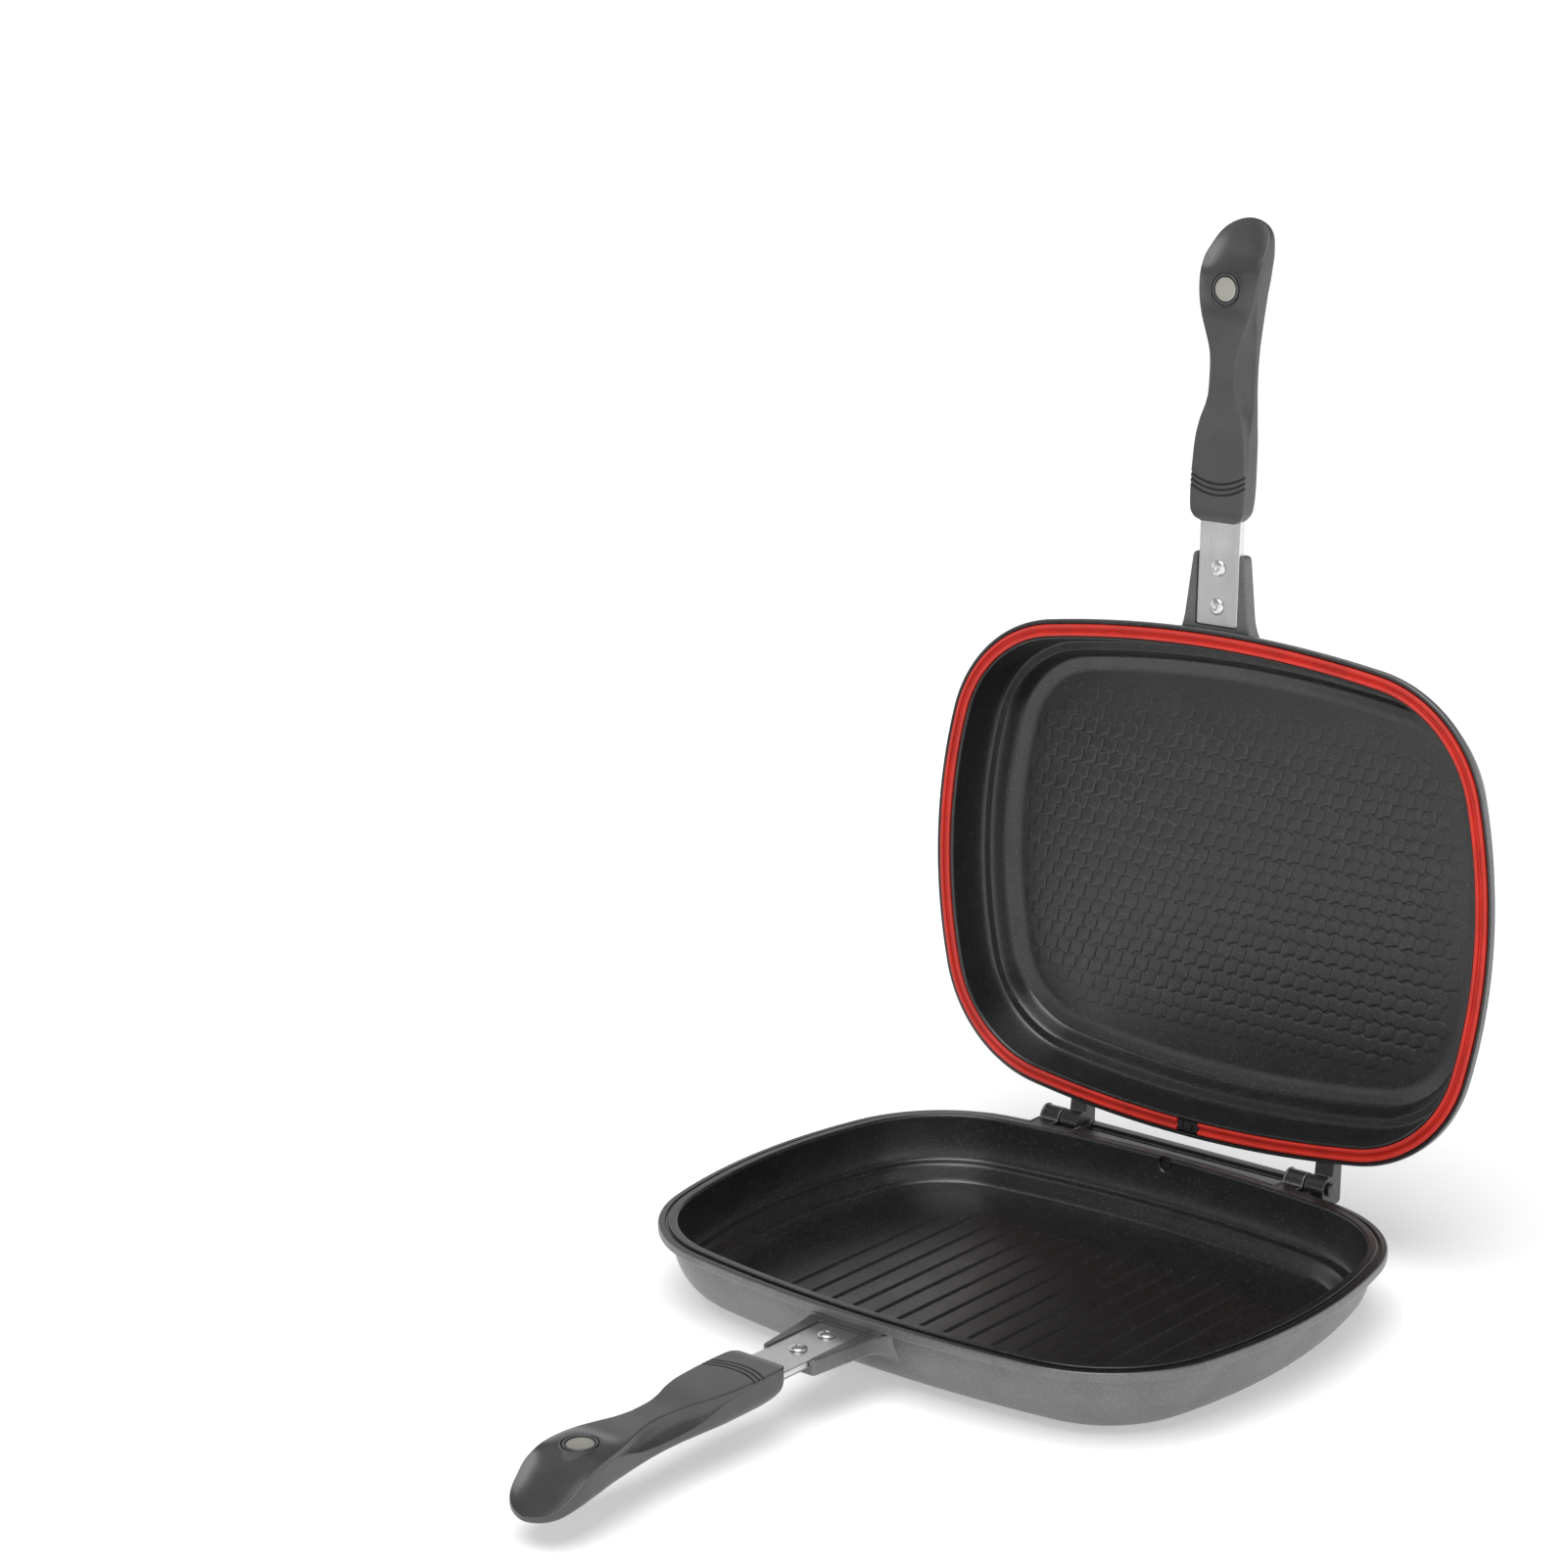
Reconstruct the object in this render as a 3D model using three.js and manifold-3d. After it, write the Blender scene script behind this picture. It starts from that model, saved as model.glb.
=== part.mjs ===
// Double sided flip pan: two cast half pans that fold together on a rear hinge.
// Millimetres, +Z up, X along the hinge, -Y towards the handles.
// Origin: the centre of the flat base that the lower half stands on.
// Each half is drawn in its own half frame: the parting plane is z = 0 and the bowl lies below it.
import * as THREE from 'three';
import { mergeVertices } from 'three/addons/utils/BufferGeometryUtils.js';
import Module from 'manifold-3d';

const wasm = await Module();
wasm.setup();

// Driving dimensions of both halves
const panWidth = 330;
const panLength = 258;
const halfHeight = 38.5;
const sideArcRadius = 279;
const frontArcRadius = 658;
const cornerRadius = 71.5;
const openAngle = THREE.MathUtils.degToRad(92.3);

// Clearances
const fitGap = 0.3;
const overrun = 5;
const sunk = 0.6;

// Outer shell of a half
const flangeHeight = 5.4;
const flangeLedge = 6.6;
const flangeBead = 1.2;
const edgeRound = 0.8;
const baseInset = 35.5;
const baseRaise = 0.4;

// Bowl of a half
const floorThickness = 4.3;
const upperFlare = 7.5;
const upperDepth = 23.5;
const stepLedge = 1.6;
const lowerFlare = 19.4;

// Rim of the lower half
const rimWidth = 9.5;
const outerLipDrop = 0.6;
const rimGrooveInset = 3.4;
const rimGrooveWidth = 1.6;
const rimGrooveDepth = 1.7;
const ventRadius = 3.2;

// Rim of the upper half and its gasket
const lidFaceDrop = 1.2;
const lidRimWidth = 10.3;
const gasketInset = 2.2;
const gasketWidth = 6.6;
const gasketSeatDepth = 2.4;
const gasketRibWidth = 1.7;
const gasketChannelDepth = 0.9;
const clipWidth = 12.4;
const clipHookWidth = 5;
const clipHookHeight = 0.5;
const clipHookInset = 1.4;

// Rings machined bare on the base of each half
const discRadius = 77.6;
const innerRingWidth = 3.5;
const ringGroove = 1.6;
const outerRingWidth = 5;
const sideRingRadius = 84;
const sideRingWidth = 7;
const sideRingOffset = 53;
const bandWidth = 4.2;
const bandHalfLength = 40;

// Grill grooves in the floor of the lower half
const floorGroovePitch = 13.2;
const floorGrooveWidth = 1.8;
const floorGrooveDepth = 1;
const floorGrooveHalfSpan = 99;
const floorGrooveHalfLength = 72;
const floorGrooveCorner = 34;

// Handle lug: a U channel cast on the front of each half
const lugReach = 37;
const lugRootHalfWidth = 20.5;
const lugTipHalfWidth = 14.8;
const lugTipChamfer = 2;
const lugWallTop = 7;
const lugFloorThickness = 3.9;
const lugOverlap = 8.8;

// Steel strap between lug and grip
const strapWidth = 24;
const strapThickness = 2.8;
const strapTop = 7.75;
const strapStart = 1.2;
const strapShoulder = 76;
const strapTangStart = 103;
const strapTangWidth = 9;
const strapEnd = 112;

// Rivets through lug and strap
const rivetFirst = 10.6;
const rivetPitch = 19;
const rivetShankRadius = 2.5;
const rivetHeadRadius = 4.6;
const rivetHeadHeight = 2;
const rivetRecessRadius = 6;
const rivetRecessDepth = 1.1;
const rivetUpsetRadius = 4.1;
const rivetUpsetHeight = 1.5;
const rivetDimpleRadius = 1.5;
const rivetDimpleDepth = 0.7;

// Moulded grip; its station table holds shares of these three sizes
const gripStart = 52.5;
const gripLength = 147;
const gripHalfWidth = 17.5;
const gripBackDepth = 25;
const gripEdgeRound = 0.8;
const gripGrooveWidth = 0.9;
const gripGrooveDepth = 0.9;
const gripGroovePitch = 3;
const gripGrooveStart = 12.5;
const gripGrooveArc = 45;

// Magnet pocket of the grip, at a share of the grip's length
const magnetPlaceShare = 0.7653;
const magnetRadius = 6;
const magnetThickness = 3;
const magnetRecess = 0.4;
const collarRadius = 7.8;
const collarTop = 1.4;
const collarRoot = 9;

// Hinge
const hingeSetback = 6.8;
const hingeDrop = 1.1;
const hingeSpread = 74.3;
const knuckleRadius = 5.8;
const knuckleLength = 11.5;
const knuckleGap = 1;
const hingeRootInset = 9;
const earTopDrop = 0.6;
const pinRadius = 2.4;
const pinHeadRadius = 3.6;
const pinHeadLength = 1.5;
const pinEndWall = 1.2;
const armClearance = 1.8;
const armThickness = 6.6;
const armHeel = 8;
const stopSetback = 0.7;
const stopPadTop = 7.4;
const stopPadBottom = 13.4;
const railReach = 14.6;
const railThickness = 4.6;
const railDrop = 0.8;
const railChannelStart = 2.2;
const railChannelWidth = 8.2;
const railChannelDepth = 2.8;

// Counts
const sideSteps = 3;
const cornerSteps = 6;
const frontSteps = 3;
const wallSteps = 8;
const bowlSteps = 4;
const discSides = 40;
const smallSides = 16;

const halfWidth = panWidth / 2;
const halfLength = panLength / 2;
const hingeY = halfLength + hingeSetback;

const finishes = {
  casting: { color: 0x5b5d5f, roughness: 0.42, metalness: 0.75 },
  silicone: { color: 0xd0281a, roughness: 0.5, metalness: 0 },
  clip: { color: 0x161616, roughness: 0.6, metalness: 0 },
  phenolic: { color: 0x2b2b2c, roughness: 0.55, metalness: 0 },
  steel: { color: 0xc9cacb, roughness: 0.3, metalness: 1 },
  rivet: { color: 0xb4b5b6, roughness: 0.35, metalness: 1 },
  magnet: { color: 0xb9b9b0, roughness: 0.45, metalness: 0.9 },
};

function makeMesh(name, geometry, finish) {
  const mesh = new THREE.Mesh(geometry, new THREE.MeshStandardMaterial(finishes[finish]));
  mesh.name = name;
  return mesh;
}

// Solids: geometry in, manifold solid out, so that booleans work on them
function toSolid(geometry) {
  let bare = geometry.clone();
  bare.deleteAttribute('normal');
  bare.deleteAttribute('uv');
  bare = mergeVertices(bare);
  const vertProperties = Float32Array.from(bare.attributes.position.array);
  const triVerts = Uint32Array.from(bare.index.array);
  return new wasm.Manifold(new wasm.Mesh({ numProp: 3, vertProperties, triVerts }));
}

function toGeometry(solid) {
  const mesh = solid.getMesh();
  const geometry = new THREE.BufferGeometry();
  const corners = Float32Array.from(mesh.vertProperties);
  geometry.setAttribute('position', new THREE.BufferAttribute(corners, 3));
  geometry.setIndex(new THREE.BufferAttribute(Uint32Array.from(mesh.triVerts), 1));
  geometry.computeVertexNormals();
  return geometry;
}

function box(xRange, yRange, zRange) {
  const ranges = [xRange, yRange, zRange];
  const geometry = new THREE.BoxGeometry(...ranges.map(([low, high]) => high - low));
  geometry.translate(...ranges.map(([low, high]) => (low + high) / 2));
  return toSolid(geometry);
}

function upright(points, zRange) {
  const shape = new THREE.Shape(points.map(([x, y]) => new THREE.Vector2(x, y)));
  const geometry = new THREE.ExtrudeGeometry(shape, { depth: zRange[1] - zRange[0], bevelEnabled: false });
  geometry.translate(0, 0, zRange[0]);
  return toSolid(geometry);
}

// A profile of (y, z) points carried along X
function crosswise(points, xRange) {
  const shape = new THREE.Shape(points.map(([y, z]) => new THREE.Vector2(y, z)));
  const geometry = new THREE.ExtrudeGeometry(shape, { depth: xRange[1] - xRange[0], bevelEnabled: false });
  const turn = new THREE.Matrix4().makeBasis(
    new THREE.Vector3(0, 1, 0), new THREE.Vector3(0, 0, 1), new THREE.Vector3(1, 0, 0));
  geometry.applyMatrix4(turn);
  geometry.translate(xRange[0], 0, 0);
  return toSolid(geometry);
}

function circlePoints(radius, sides, x = 0, y = 0) {
  const points = [];
  for (let i = 0; i < sides; i += 1) {
    const angle = (2 * Math.PI * i) / sides;
    points.push([x + radius * Math.cos(angle), y + radius * Math.sin(angle)]);
  }
  return points;
}

function disc(radius, zRange, x = 0, y = 0, sides = discSides) {
  return upright(circlePoints(radius, sides, x, y), zRange);
}

function axle(radius, xRange, y, z) {
  return crosswise(circlePoints(radius, smallSides, y, z), xRange);
}

function axleY(radius, yRange) {
  return crosswise(circlePoints(radius, smallSides), yRange).rotate([0, 0, 90]);
}

// A turned piece: profile of (radius, z) points from axis to axis, set upright at x = 0 and the given y
function turned(profile, y) {
  const points = profile.map(([radius, z]) => new THREE.Vector2(radius, z));
  const geometry = new THREE.LatheGeometry(points, smallSides);
  geometry.rotateX(Math.PI / 2);
  geometry.translate(0, y, 0);
  return toSolid(geometry);
}

// A skin over rings of points; open rings are capped, a closed loop joins its last ring to its first
function loft(rings, closedLoop = false) {
  const count = rings[0].length;
  const positions = rings.flat(2);
  const triangles = [];
  const spans = closedLoop ? rings.length : rings.length - 1;
  for (let i = 0; i < spans; i += 1) {
    const next = (i + 1) % rings.length;
    for (let j = 0; j < count; j += 1) {
      const k = (j + 1) % count;
      const [a, b, c, d] = [i * count + j, i * count + k, next * count + k, next * count + j];
      triangles.push(a, b, c, a, c, d);
    }
  }
  if (!closedLoop) {
    [[rings[0], 0, true], [rings[rings.length - 1], (rings.length - 1) * count, false]].forEach(
      ([ring, start, first]) => {
        const middle = positions.length / 3;
        const sum = ring.reduce((s, p) => [s[0] + p[0], s[1] + p[1], s[2] + p[2]], [0, 0, 0]);
        positions.push(...sum.map((value) => value / count));
        for (let j = 0; j < count; j += 1) {
          const k = (j + 1) % count;
          const pair = first ? [start + k, start + j] : [start + j, start + k];
          triangles.push(middle, ...pair);
        }
      });
  }
  if (signedVolume(positions, triangles) < 0) {
    triangles.reverse();
  }
  const geometry = new THREE.BufferGeometry();
  geometry.setAttribute('position', new THREE.Float32BufferAttribute(positions, 3));
  geometry.setIndex(triangles);
  return toSolid(geometry);
}

function signedVolume(positions, triangles) {
  const corner = (index) => new THREE.Vector3().fromArray(positions, index * 3);
  let volume = 0;
  for (let i = 0; i < triangles.length; i += 3) {
    const [a, b, c] = [corner(triangles[i]), corner(triangles[i + 1]), corner(triangles[i + 2])];
    volume += a.dot(b.cross(c)) / 6;
  }
  return volume;
}

// Plan outline of the pan: side, corner and front arcs that meet tangentially, with their normals
function planOutline() {
  const sideCentre = [halfWidth - sideArcRadius, 0];
  const frontCentre = [0, halfLength - frontArcRadius];
  const toSide = sideArcRadius - cornerRadius;
  const toFront = frontArcRadius - cornerRadius;
  const across = [frontCentre[0] - sideCentre[0], frontCentre[1] - sideCentre[1]];
  const span = Math.hypot(...across);
  const along = (toSide ** 2 - toFront ** 2 + span ** 2) / (2 * span);
  const height = Math.sqrt(toSide ** 2 - along ** 2);
  const unit = [across[0] / span, across[1] / span];
  const cornerCentre = [
    sideCentre[0] + along * unit[0] - height * unit[1],
    sideCentre[1] + along * unit[1] + height * unit[0],
  ];
  const sideEnd = Math.atan2(cornerCentre[1] - sideCentre[1], cornerCentre[0] - sideCentre[0]);
  const frontStart = Math.atan2(cornerCentre[1] - frontCentre[1], cornerCentre[0] - frontCentre[0]);
  const arcs = [
    [sideCentre, sideArcRadius, 0, sideEnd, sideSteps],
    [cornerCentre, cornerRadius, sideEnd, frontStart, cornerSteps],
    [frontCentre, frontArcRadius, frontStart, Math.PI / 2, frontSteps],
  ];
  const quarter = [];
  arcs.forEach(([centre, radius, start, end, steps]) => {
    for (let i = 0; i < steps; i += 1) {
      const angle = start + ((end - start) * i) / steps;
      const normal = [Math.cos(angle), Math.sin(angle)];
      quarter.push([centre[0] + radius * normal[0], centre[1] + radius * normal[1], ...normal]);
    }
  });
  const rear = [0, halfLength, 0, 1];
  const half = [...quarter, rear, ...quarter.slice(1).reverse().map(([x, y, u, v]) => [-x, y, -u, v])];
  const left = [-halfWidth, 0, -1, 0];
  return [...half, left, ...half.slice(1).reverse().map(([x, y, u, v]) => [x, -y, u, -v])];
}

const outline = planOutline();

function ring(inset, z) {
  return outline.map(([x, y, u, v]) => [x - u * inset, y - v * inset, z]);
}

// Y of the plan outline on its rear or front arc at a given x
function rearEdge(x) {
  return halfLength - frontArcRadius + Math.sqrt(frontArcRadius ** 2 - x ** 2);
}

function quarterEllipse(start, reach, steps) {
  const points = [];
  for (let i = 0; i <= steps; i += 1) {
    const angle = (Math.PI / 2) * (i / steps);
    points.push([start[0] + reach[0] * (1 - Math.cos(angle)), start[1] - reach[1] * Math.sin(angle)]);
  }
  return points;
}

// Section of a half from the middle of its base, round the rim, to the middle of its floor
const baseLevel = halfHeight - baseRaise;
const floorLevel = halfHeight - floorThickness;

function outerSection() {
  const wall = quarterEllipse(
    [flangeLedge, -flangeHeight - flangeBead],
    [baseInset - flangeLedge, baseLevel - flangeHeight - flangeBead],
    wallSteps,
  ).reverse();
  return [
    ...wall,
    [flangeLedge - flangeBead, -flangeHeight],
    [edgeRound, -flangeHeight],
    [0, edgeRound - flangeHeight],
  ];
}

// Outer body, filled up to its rim; the bowl and the channels in the rim are cut from it
function bodySolid(rimLevel) {
  const section = [...outerSection(), [0, rimLevel - edgeRound], [edgeRound, rimLevel]];
  return loft(section.map(([inset, z]) => ring(inset, z)));
}

function bowlCut(mouth, rimLevel) {
  const start = rimLevel - edgeRound;
  const upper = quarterEllipse([mouth, start], [upperFlare, upperDepth + start], bowlSteps);
  const corner = [mouth + upperFlare + stepLedge, -upperDepth];
  const lower = quarterEllipse(corner, [lowerFlare, floorLevel - upperDepth], bowlSteps);
  const section = [[mouth - edgeRound, overrun], [mouth - edgeRound, rimLevel], ...upper, ...lower];
  return loft(section.map(([inset, z]) => ring(inset, z)));
}

function channelCut(start, end, level, slope) {
  const section = [[start, overrun], [start, level + slope], [start + slope, level], [end - slope, level],
    [end, level + slope], [end, overrun]];
  return loft(section.map(([inset, z]) => ring(inset, z)), true);
}

// Bare rings that stand proud of the base
function baseRings() {
  const level = [-halfHeight, -baseLevel + sunk];
  const cut = [-halfHeight - overrun, overrun];
  const ringStart = discRadius + ringGroove;
  const innerEnd = ringStart + innerRingWidth;
  const outerStart = innerEnd + ringGroove;
  const outerEnd = outerStart + outerRingWidth;
  const annulus = (inner, outer, x = 0) => disc(outer, level, x).subtract(disc(inner, cut, x));
  const sides = [-sideRingOffset, sideRingOffset];
  let loops = annulus(outerStart, outerEnd);
  let bands = annulus(outerStart, outerEnd + bandWidth).intersect(
    box([-bandHalfLength, bandHalfLength], [-halfWidth, halfWidth], cut));
  sides.forEach((x) => {
    const inside = sideRingRadius - sideRingWidth;
    loops = loops.add(annulus(inside, sideRingRadius, x).subtract(disc(outerStart, cut)));
    bands = bands.subtract(disc(inside, cut, x).subtract(disc(outerStart, cut)));
  });
  return disc(discRadius, level).add(annulus(ringStart, innerEnd)).add(loops).add(bands);
}

// Lug of a half, with the channel for the strap and the bored seats for the rivets
const lugTip = halfLength + lugReach;
const strapBottom = strapTop + strapThickness;
const lugBottom = strapBottom + fitGap + lugFloorThickness;
const rivetPlaces = [0, 1].map((i) => -(halfLength + rivetFirst + i * rivetPitch));

function lugSolid() {
  const root = halfLength - lugOverlap;
  const riser = box([-lugRootHalfWidth, lugRootHalfWidth], [-halfLength + flangeBead, -root],
    [-lugWallTop - sunk, -flangeHeight + sunk]);
  const plan = [
    [lugRootHalfWidth, -root],
    [-lugRootHalfWidth, -root],
    [-lugTipHalfWidth, -lugTip + lugTipChamfer],
    [-lugTipHalfWidth + lugTipChamfer, -lugTip],
    [lugTipHalfWidth - lugTipChamfer, -lugTip],
    [lugTipHalfWidth, -lugTip + lugTipChamfer],
  ];
  return upright(plan, [-lugBottom, -lugWallTop]).add(riser);
}

function lugCuts() {
  const slotHalf = strapWidth / 2 + fitGap;
  const slot = box([-slotHalf, slotHalf], [-lugTip - overrun, -halfLength - strapStart + fitGap],
    [-strapBottom - fitGap, 0]);
  const below = -lugBottom - overrun;
  return rivetPlaces.reduce((cuts, y) => cuts
    .add(disc(rivetShankRadius + fitGap, [below, 0], 0, y, smallSides))
    .add(disc(rivetRecessRadius, [below, -lugBottom + rivetRecessDepth], 0, y, smallSides)), slot);
}

function halfPan(rimLevel, mouth, extras) {
  return bodySolid(rimLevel).add(baseRings()).add(lugSolid()).add(extras).subtract(bowlCut(mouth, rimLevel))
    .subtract(lugCuts());
}

// Grill grooves, shorter towards the corners of the floor
function floorGrooves() {
  const grooves = [];
  const count = Math.floor(floorGrooveHalfSpan / floorGroovePitch);
  for (let i = -count; i <= count; i += 1) {
    const x = i * floorGroovePitch;
    const past = Math.max(0, Math.abs(x) - (floorGrooveHalfSpan - floorGrooveCorner));
    const trim = floorGrooveCorner - Math.sqrt(floorGrooveCorner ** 2 - past ** 2);
    const reach = floorGrooveHalfLength - trim;
    grooves.push(box([x - floorGrooveWidth / 2, x + floorGrooveWidth / 2], [-reach, reach],
      [-floorLevel - floorGrooveDepth, -floorLevel + overrun]));
  }
  return grooves;
}

// Hinge places: on each side the ear of the lower half stands on the left of the upper half's barrel
const pairHalf = knuckleGap / 2 + knuckleLength;
const hingePairs = [-1, 1].map((side) => {
  const middle = side * hingeSpread;
  return {
    side,
    ear: [middle - pairHalf, middle - knuckleGap / 2],
    barrel: [middle + knuckleGap / 2, middle + pairHalf],
    headFace: middle + side * pairHalf,
    blindEnd: middle - side * (pairHalf - pinEndWall),
  };
});
const hingeRoot = rearEdge(hingeSpread + pairHalf) - hingeRootInset;
const ordered = (a, b) => [Math.min(a, b), Math.max(a, b)];

// Bores for the pins: open on the outer side, blind on the inner side
function hingeBores(z, mirror) {
  return hingePairs.map(({ side, headFace, blindEnd }) => axle(pinRadius + fitGap,
    ordered(mirror * (headFace + side * overrun), mirror * blindEnd), hingeY, z))
    .reduce((all, bore) => all.add(bore));
}

function lowerHinge() {
  const parts = hingePairs.map(({ ear, barrel }) => {
    const knuckle = axle(knuckleRadius, ear, hingeY, -hingeDrop);
    const root = box(ear, [hingeRoot, hingeY], [-hingeDrop - knuckleRadius, -earTopDrop]);
    const padEnd = hingeY + armClearance + hingeDrop - stopSetback;
    const pad = box(barrel, [hingeRoot, padEnd], [-stopPadBottom, -stopPadTop]);
    return knuckle.add(root).add(pad);
  });
  const railStart = -(hingeSpread - pairHalf - knuckleGap);
  const railEnd = hingeSpread - pairHalf + sunk;
  const railY = halfLength - flangeLedge;
  const rail = box([railStart, railEnd], [railY, halfLength + railReach],
    [-railDrop - railThickness, -railDrop]);
  const channelY = halfLength + railChannelStart;
  const channel = box([railStart + railChannelStart, railEnd - railChannelStart],
    [channelY, channelY + railChannelWidth], [-railDrop - railChannelDepth, 0]);
  return parts.reduce((all, part) => all.add(part), rail.subtract(channel));
}

// The upper half is turned over in the closed pan, so X and Z change sign in its half frame.
// The heels of its arms meet the stop pads when the lid is open.
function upperHinge() {
  return hingePairs.map(({ barrel }) => {
    const span = [-barrel[1], -barrel[0]];
    const knuckle = axle(knuckleRadius, span, hingeY, hingeDrop);
    const arm = box(span, [hingeRoot, hingeY + armHeel], [-armClearance - armThickness, -armClearance]);
    return knuckle.add(arm);
  }).reduce((all, part) => all.add(part));
}

function lowerPan() {
  const lip = box([-halfWidth, halfWidth], [-halfLength, halfLength], [-outerLipDrop, overrun]).subtract(
    loft([ring(rimGrooveInset, -panLength), ring(rimGrooveInset, panLength)]));
  const groove = channelCut(rimGrooveInset, rimGrooveInset + rimGrooveWidth, -rimGrooveDepth, fitGap);
  const vent = axleY(ventRadius, [halfLength - rimWidth - overrun, halfLength - rimGrooveInset]);
  const body = halfPan(0, rimWidth, lowerHinge()).subtract(lip).subtract(groove).subtract(vent);
  return floorGrooves().reduce((rest, cut) => rest.subtract(cut), body).subtract(hingeBores(-hingeDrop, 1));
}

function upperPan() {
  return halfPan(-lidFaceDrop, lidRimWidth, upperHinge()).subtract(
    channelCut(gasketInset - fitGap, gasketInset + gasketWidth + fitGap, -lidFaceDrop - gasketSeatDepth, 0),
  ).subtract(hingeBores(hingeDrop, -1));
}

// Gasket: a base strip with two sealing ribs, cut at the rear where the clip holds its ends
const gasketFace = -fitGap;
const seatFloor = -lidFaceDrop - gasketSeatDepth + fitGap;

function gasket() {
  const channelLevel = gasketFace - gasketChannelDepth;
  const end = gasketInset + gasketWidth;
  const slope = gasketRibWidth / 4;
  const section = [
    [gasketInset, seatFloor],
    [gasketInset, gasketFace - slope],
    [gasketInset + slope, gasketFace],
    [gasketInset + gasketRibWidth, gasketFace],
    [gasketInset + gasketRibWidth + slope, channelLevel],
    [end - gasketRibWidth - slope, channelLevel],
    [end - gasketRibWidth, gasketFace],
    [end - slope, gasketFace],
    [end, gasketFace - slope],
    [end, seatFloor],
  ];
  const strip = loft(section.map(([inset, z]) => ring(inset, z)), true);
  const gap = clipWidth / 2 + fitGap;
  return strip.subtract(box([-gap, gap], [0, panLength], [-panLength, panLength]));
}

function clip() {
  const rear = halfLength - gasketInset;
  const block = box([-clipWidth / 2, clipWidth / 2], [rear - gasketWidth + fitGap, rear - fitGap],
    [seatFloor, -lidFaceDrop]);
  const hook = box([-clipHookWidth / 2, clipHookWidth / 2],
    [rear - gasketWidth + clipHookInset, rear - clipHookInset],
    [-lidFaceDrop - sunk, -lidFaceDrop + clipHookHeight]);
  return block.add(hook);
}

// Strap: full width in the lug channel, then a narrower tang inside the grip
function strapPlan(margin) {
  const wide = strapWidth / 2 + margin;
  const tang = strapTangWidth / 2 + margin;
  const places = {
    start: -(halfLength + strapStart),
    shoulder: -(halfLength + strapShoulder),
    tang: -(halfLength + strapTangStart),
    end: -(halfLength + strapEnd + margin),
  };
  return [
    [wide, places.start], [-wide, places.start], [-wide, places.shoulder], [-tang, places.tang],
    [-tang, places.end], [tang, places.end], [tang, places.tang], [wide, places.shoulder],
  ];
}

function strap() {
  return rivetPlaces.reduce(
    (bar, y) => bar.subtract(disc(rivetShankRadius + fitGap, [-strapBottom - overrun, 0], 0, y, smallSides)),
    upright(strapPlan(0), [-strapBottom, -strapTop]));
}

const domeShares = [0.5, 0.85];

function rivet(y) {
  const seat = -lugBottom + rivetRecessDepth - fitGap;
  const upset = -strapTop + fitGap;
  const dome = (radius, z, height) => domeShares.map((share) => [
    radius * Math.sqrt(1 - share ** 2), z + height * share]);
  return turned([
    [0, seat - rivetHeadHeight],
    ...dome(rivetHeadRadius, seat, -rivetHeadHeight).reverse(),
    [rivetHeadRadius, seat],
    [rivetShankRadius, seat],
    [rivetShankRadius, upset],
    [rivetUpsetRadius, upset],
    ...dome(rivetUpsetRadius, upset, rivetUpsetHeight),
    [rivetDimpleRadius, upset + rivetUpsetHeight],
    [0, upset + rivetUpsetHeight - rivetDimpleDepth],
  ], y);
}

// Grip stations, chosen by hand. Columns: place along the grip, half width of the mating face,
// drop of that face below the parting plane, half width of the shoulder, drop of the scoop's lower
// edge, drop of the shoulder, drop of the back. The first is a share of gripLength, widths are
// shares of gripHalfWidth and drops are shares of gripBackDepth.
const gripStationShares = [
  [0, 0.6, 0.18, 0.6, 0.26, 0.36, 0.68],
  [0.013, 0.8, 0.144, 0.8, 0.244, 0.38, 0.744],
  [0.04, 0.89, 0.128, 0.89, 0.228, 0.42, 0.784],
  [0.122, 0.903, 0.128, 0.903, 0.228, 0.46, 0.8],
  [0.204, 0.869, 0.128, 0.88, 0.24, 0.5, 0.8],
  [0.276, 0.811, 0.128, 0.85, 0.28, 0.54, 0.792],
  [0.337, 0.697, 0.136, 0.81, 0.39, 0.56, 0.776],
  [0.393, 0.531, 0.15, 0.785, 0.46, 0.57, 0.76],
  [0.446, 0.44, 0.16, 0.765, 0.485, 0.57, 0.748],
  [0.507, 0.417, 0.16, 0.76, 0.49, 0.575, 0.744],
  [0.568, 0.48, 0.156, 0.775, 0.47, 0.58, 0.752],
  [0.626, 0.623, 0.15, 0.82, 0.42, 0.58, 0.768],
  [0.684, 0.8, 0.156, 0.89, 0.32, 0.58, 0.796],
  [0.745, 0.949, 0.176, 0.96, 0.276, 0.58, 0.832],
  [0.806, 1, 0.22, 1.004, 0.32, 0.62, 0.876],
  [0.867, 0.989, 0.365, 0.994, 0.465, 0.68, 0.93],
  [0.918, 0.9, 0.59, 0.906, 0.67, 0.77, 0.975],
  [0.958, 0.72, 0.764, 0.727, 0.82, 0.87, 1.01],
  [0.986, 0.5, 0.856, 0.507, 0.895, 0.93, 1.03],
  [1, 0.29, 0.892, 0.296, 0.92, 0.95, 1.036],
];
const scoopShares = [0.22, 0.62];
const backShares = [0.3, 0.55, 0.78];
const backSquareness = 0.85;
const magnetY = -(halfLength + gripStart + gripLength * magnetPlaceShare);

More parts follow.
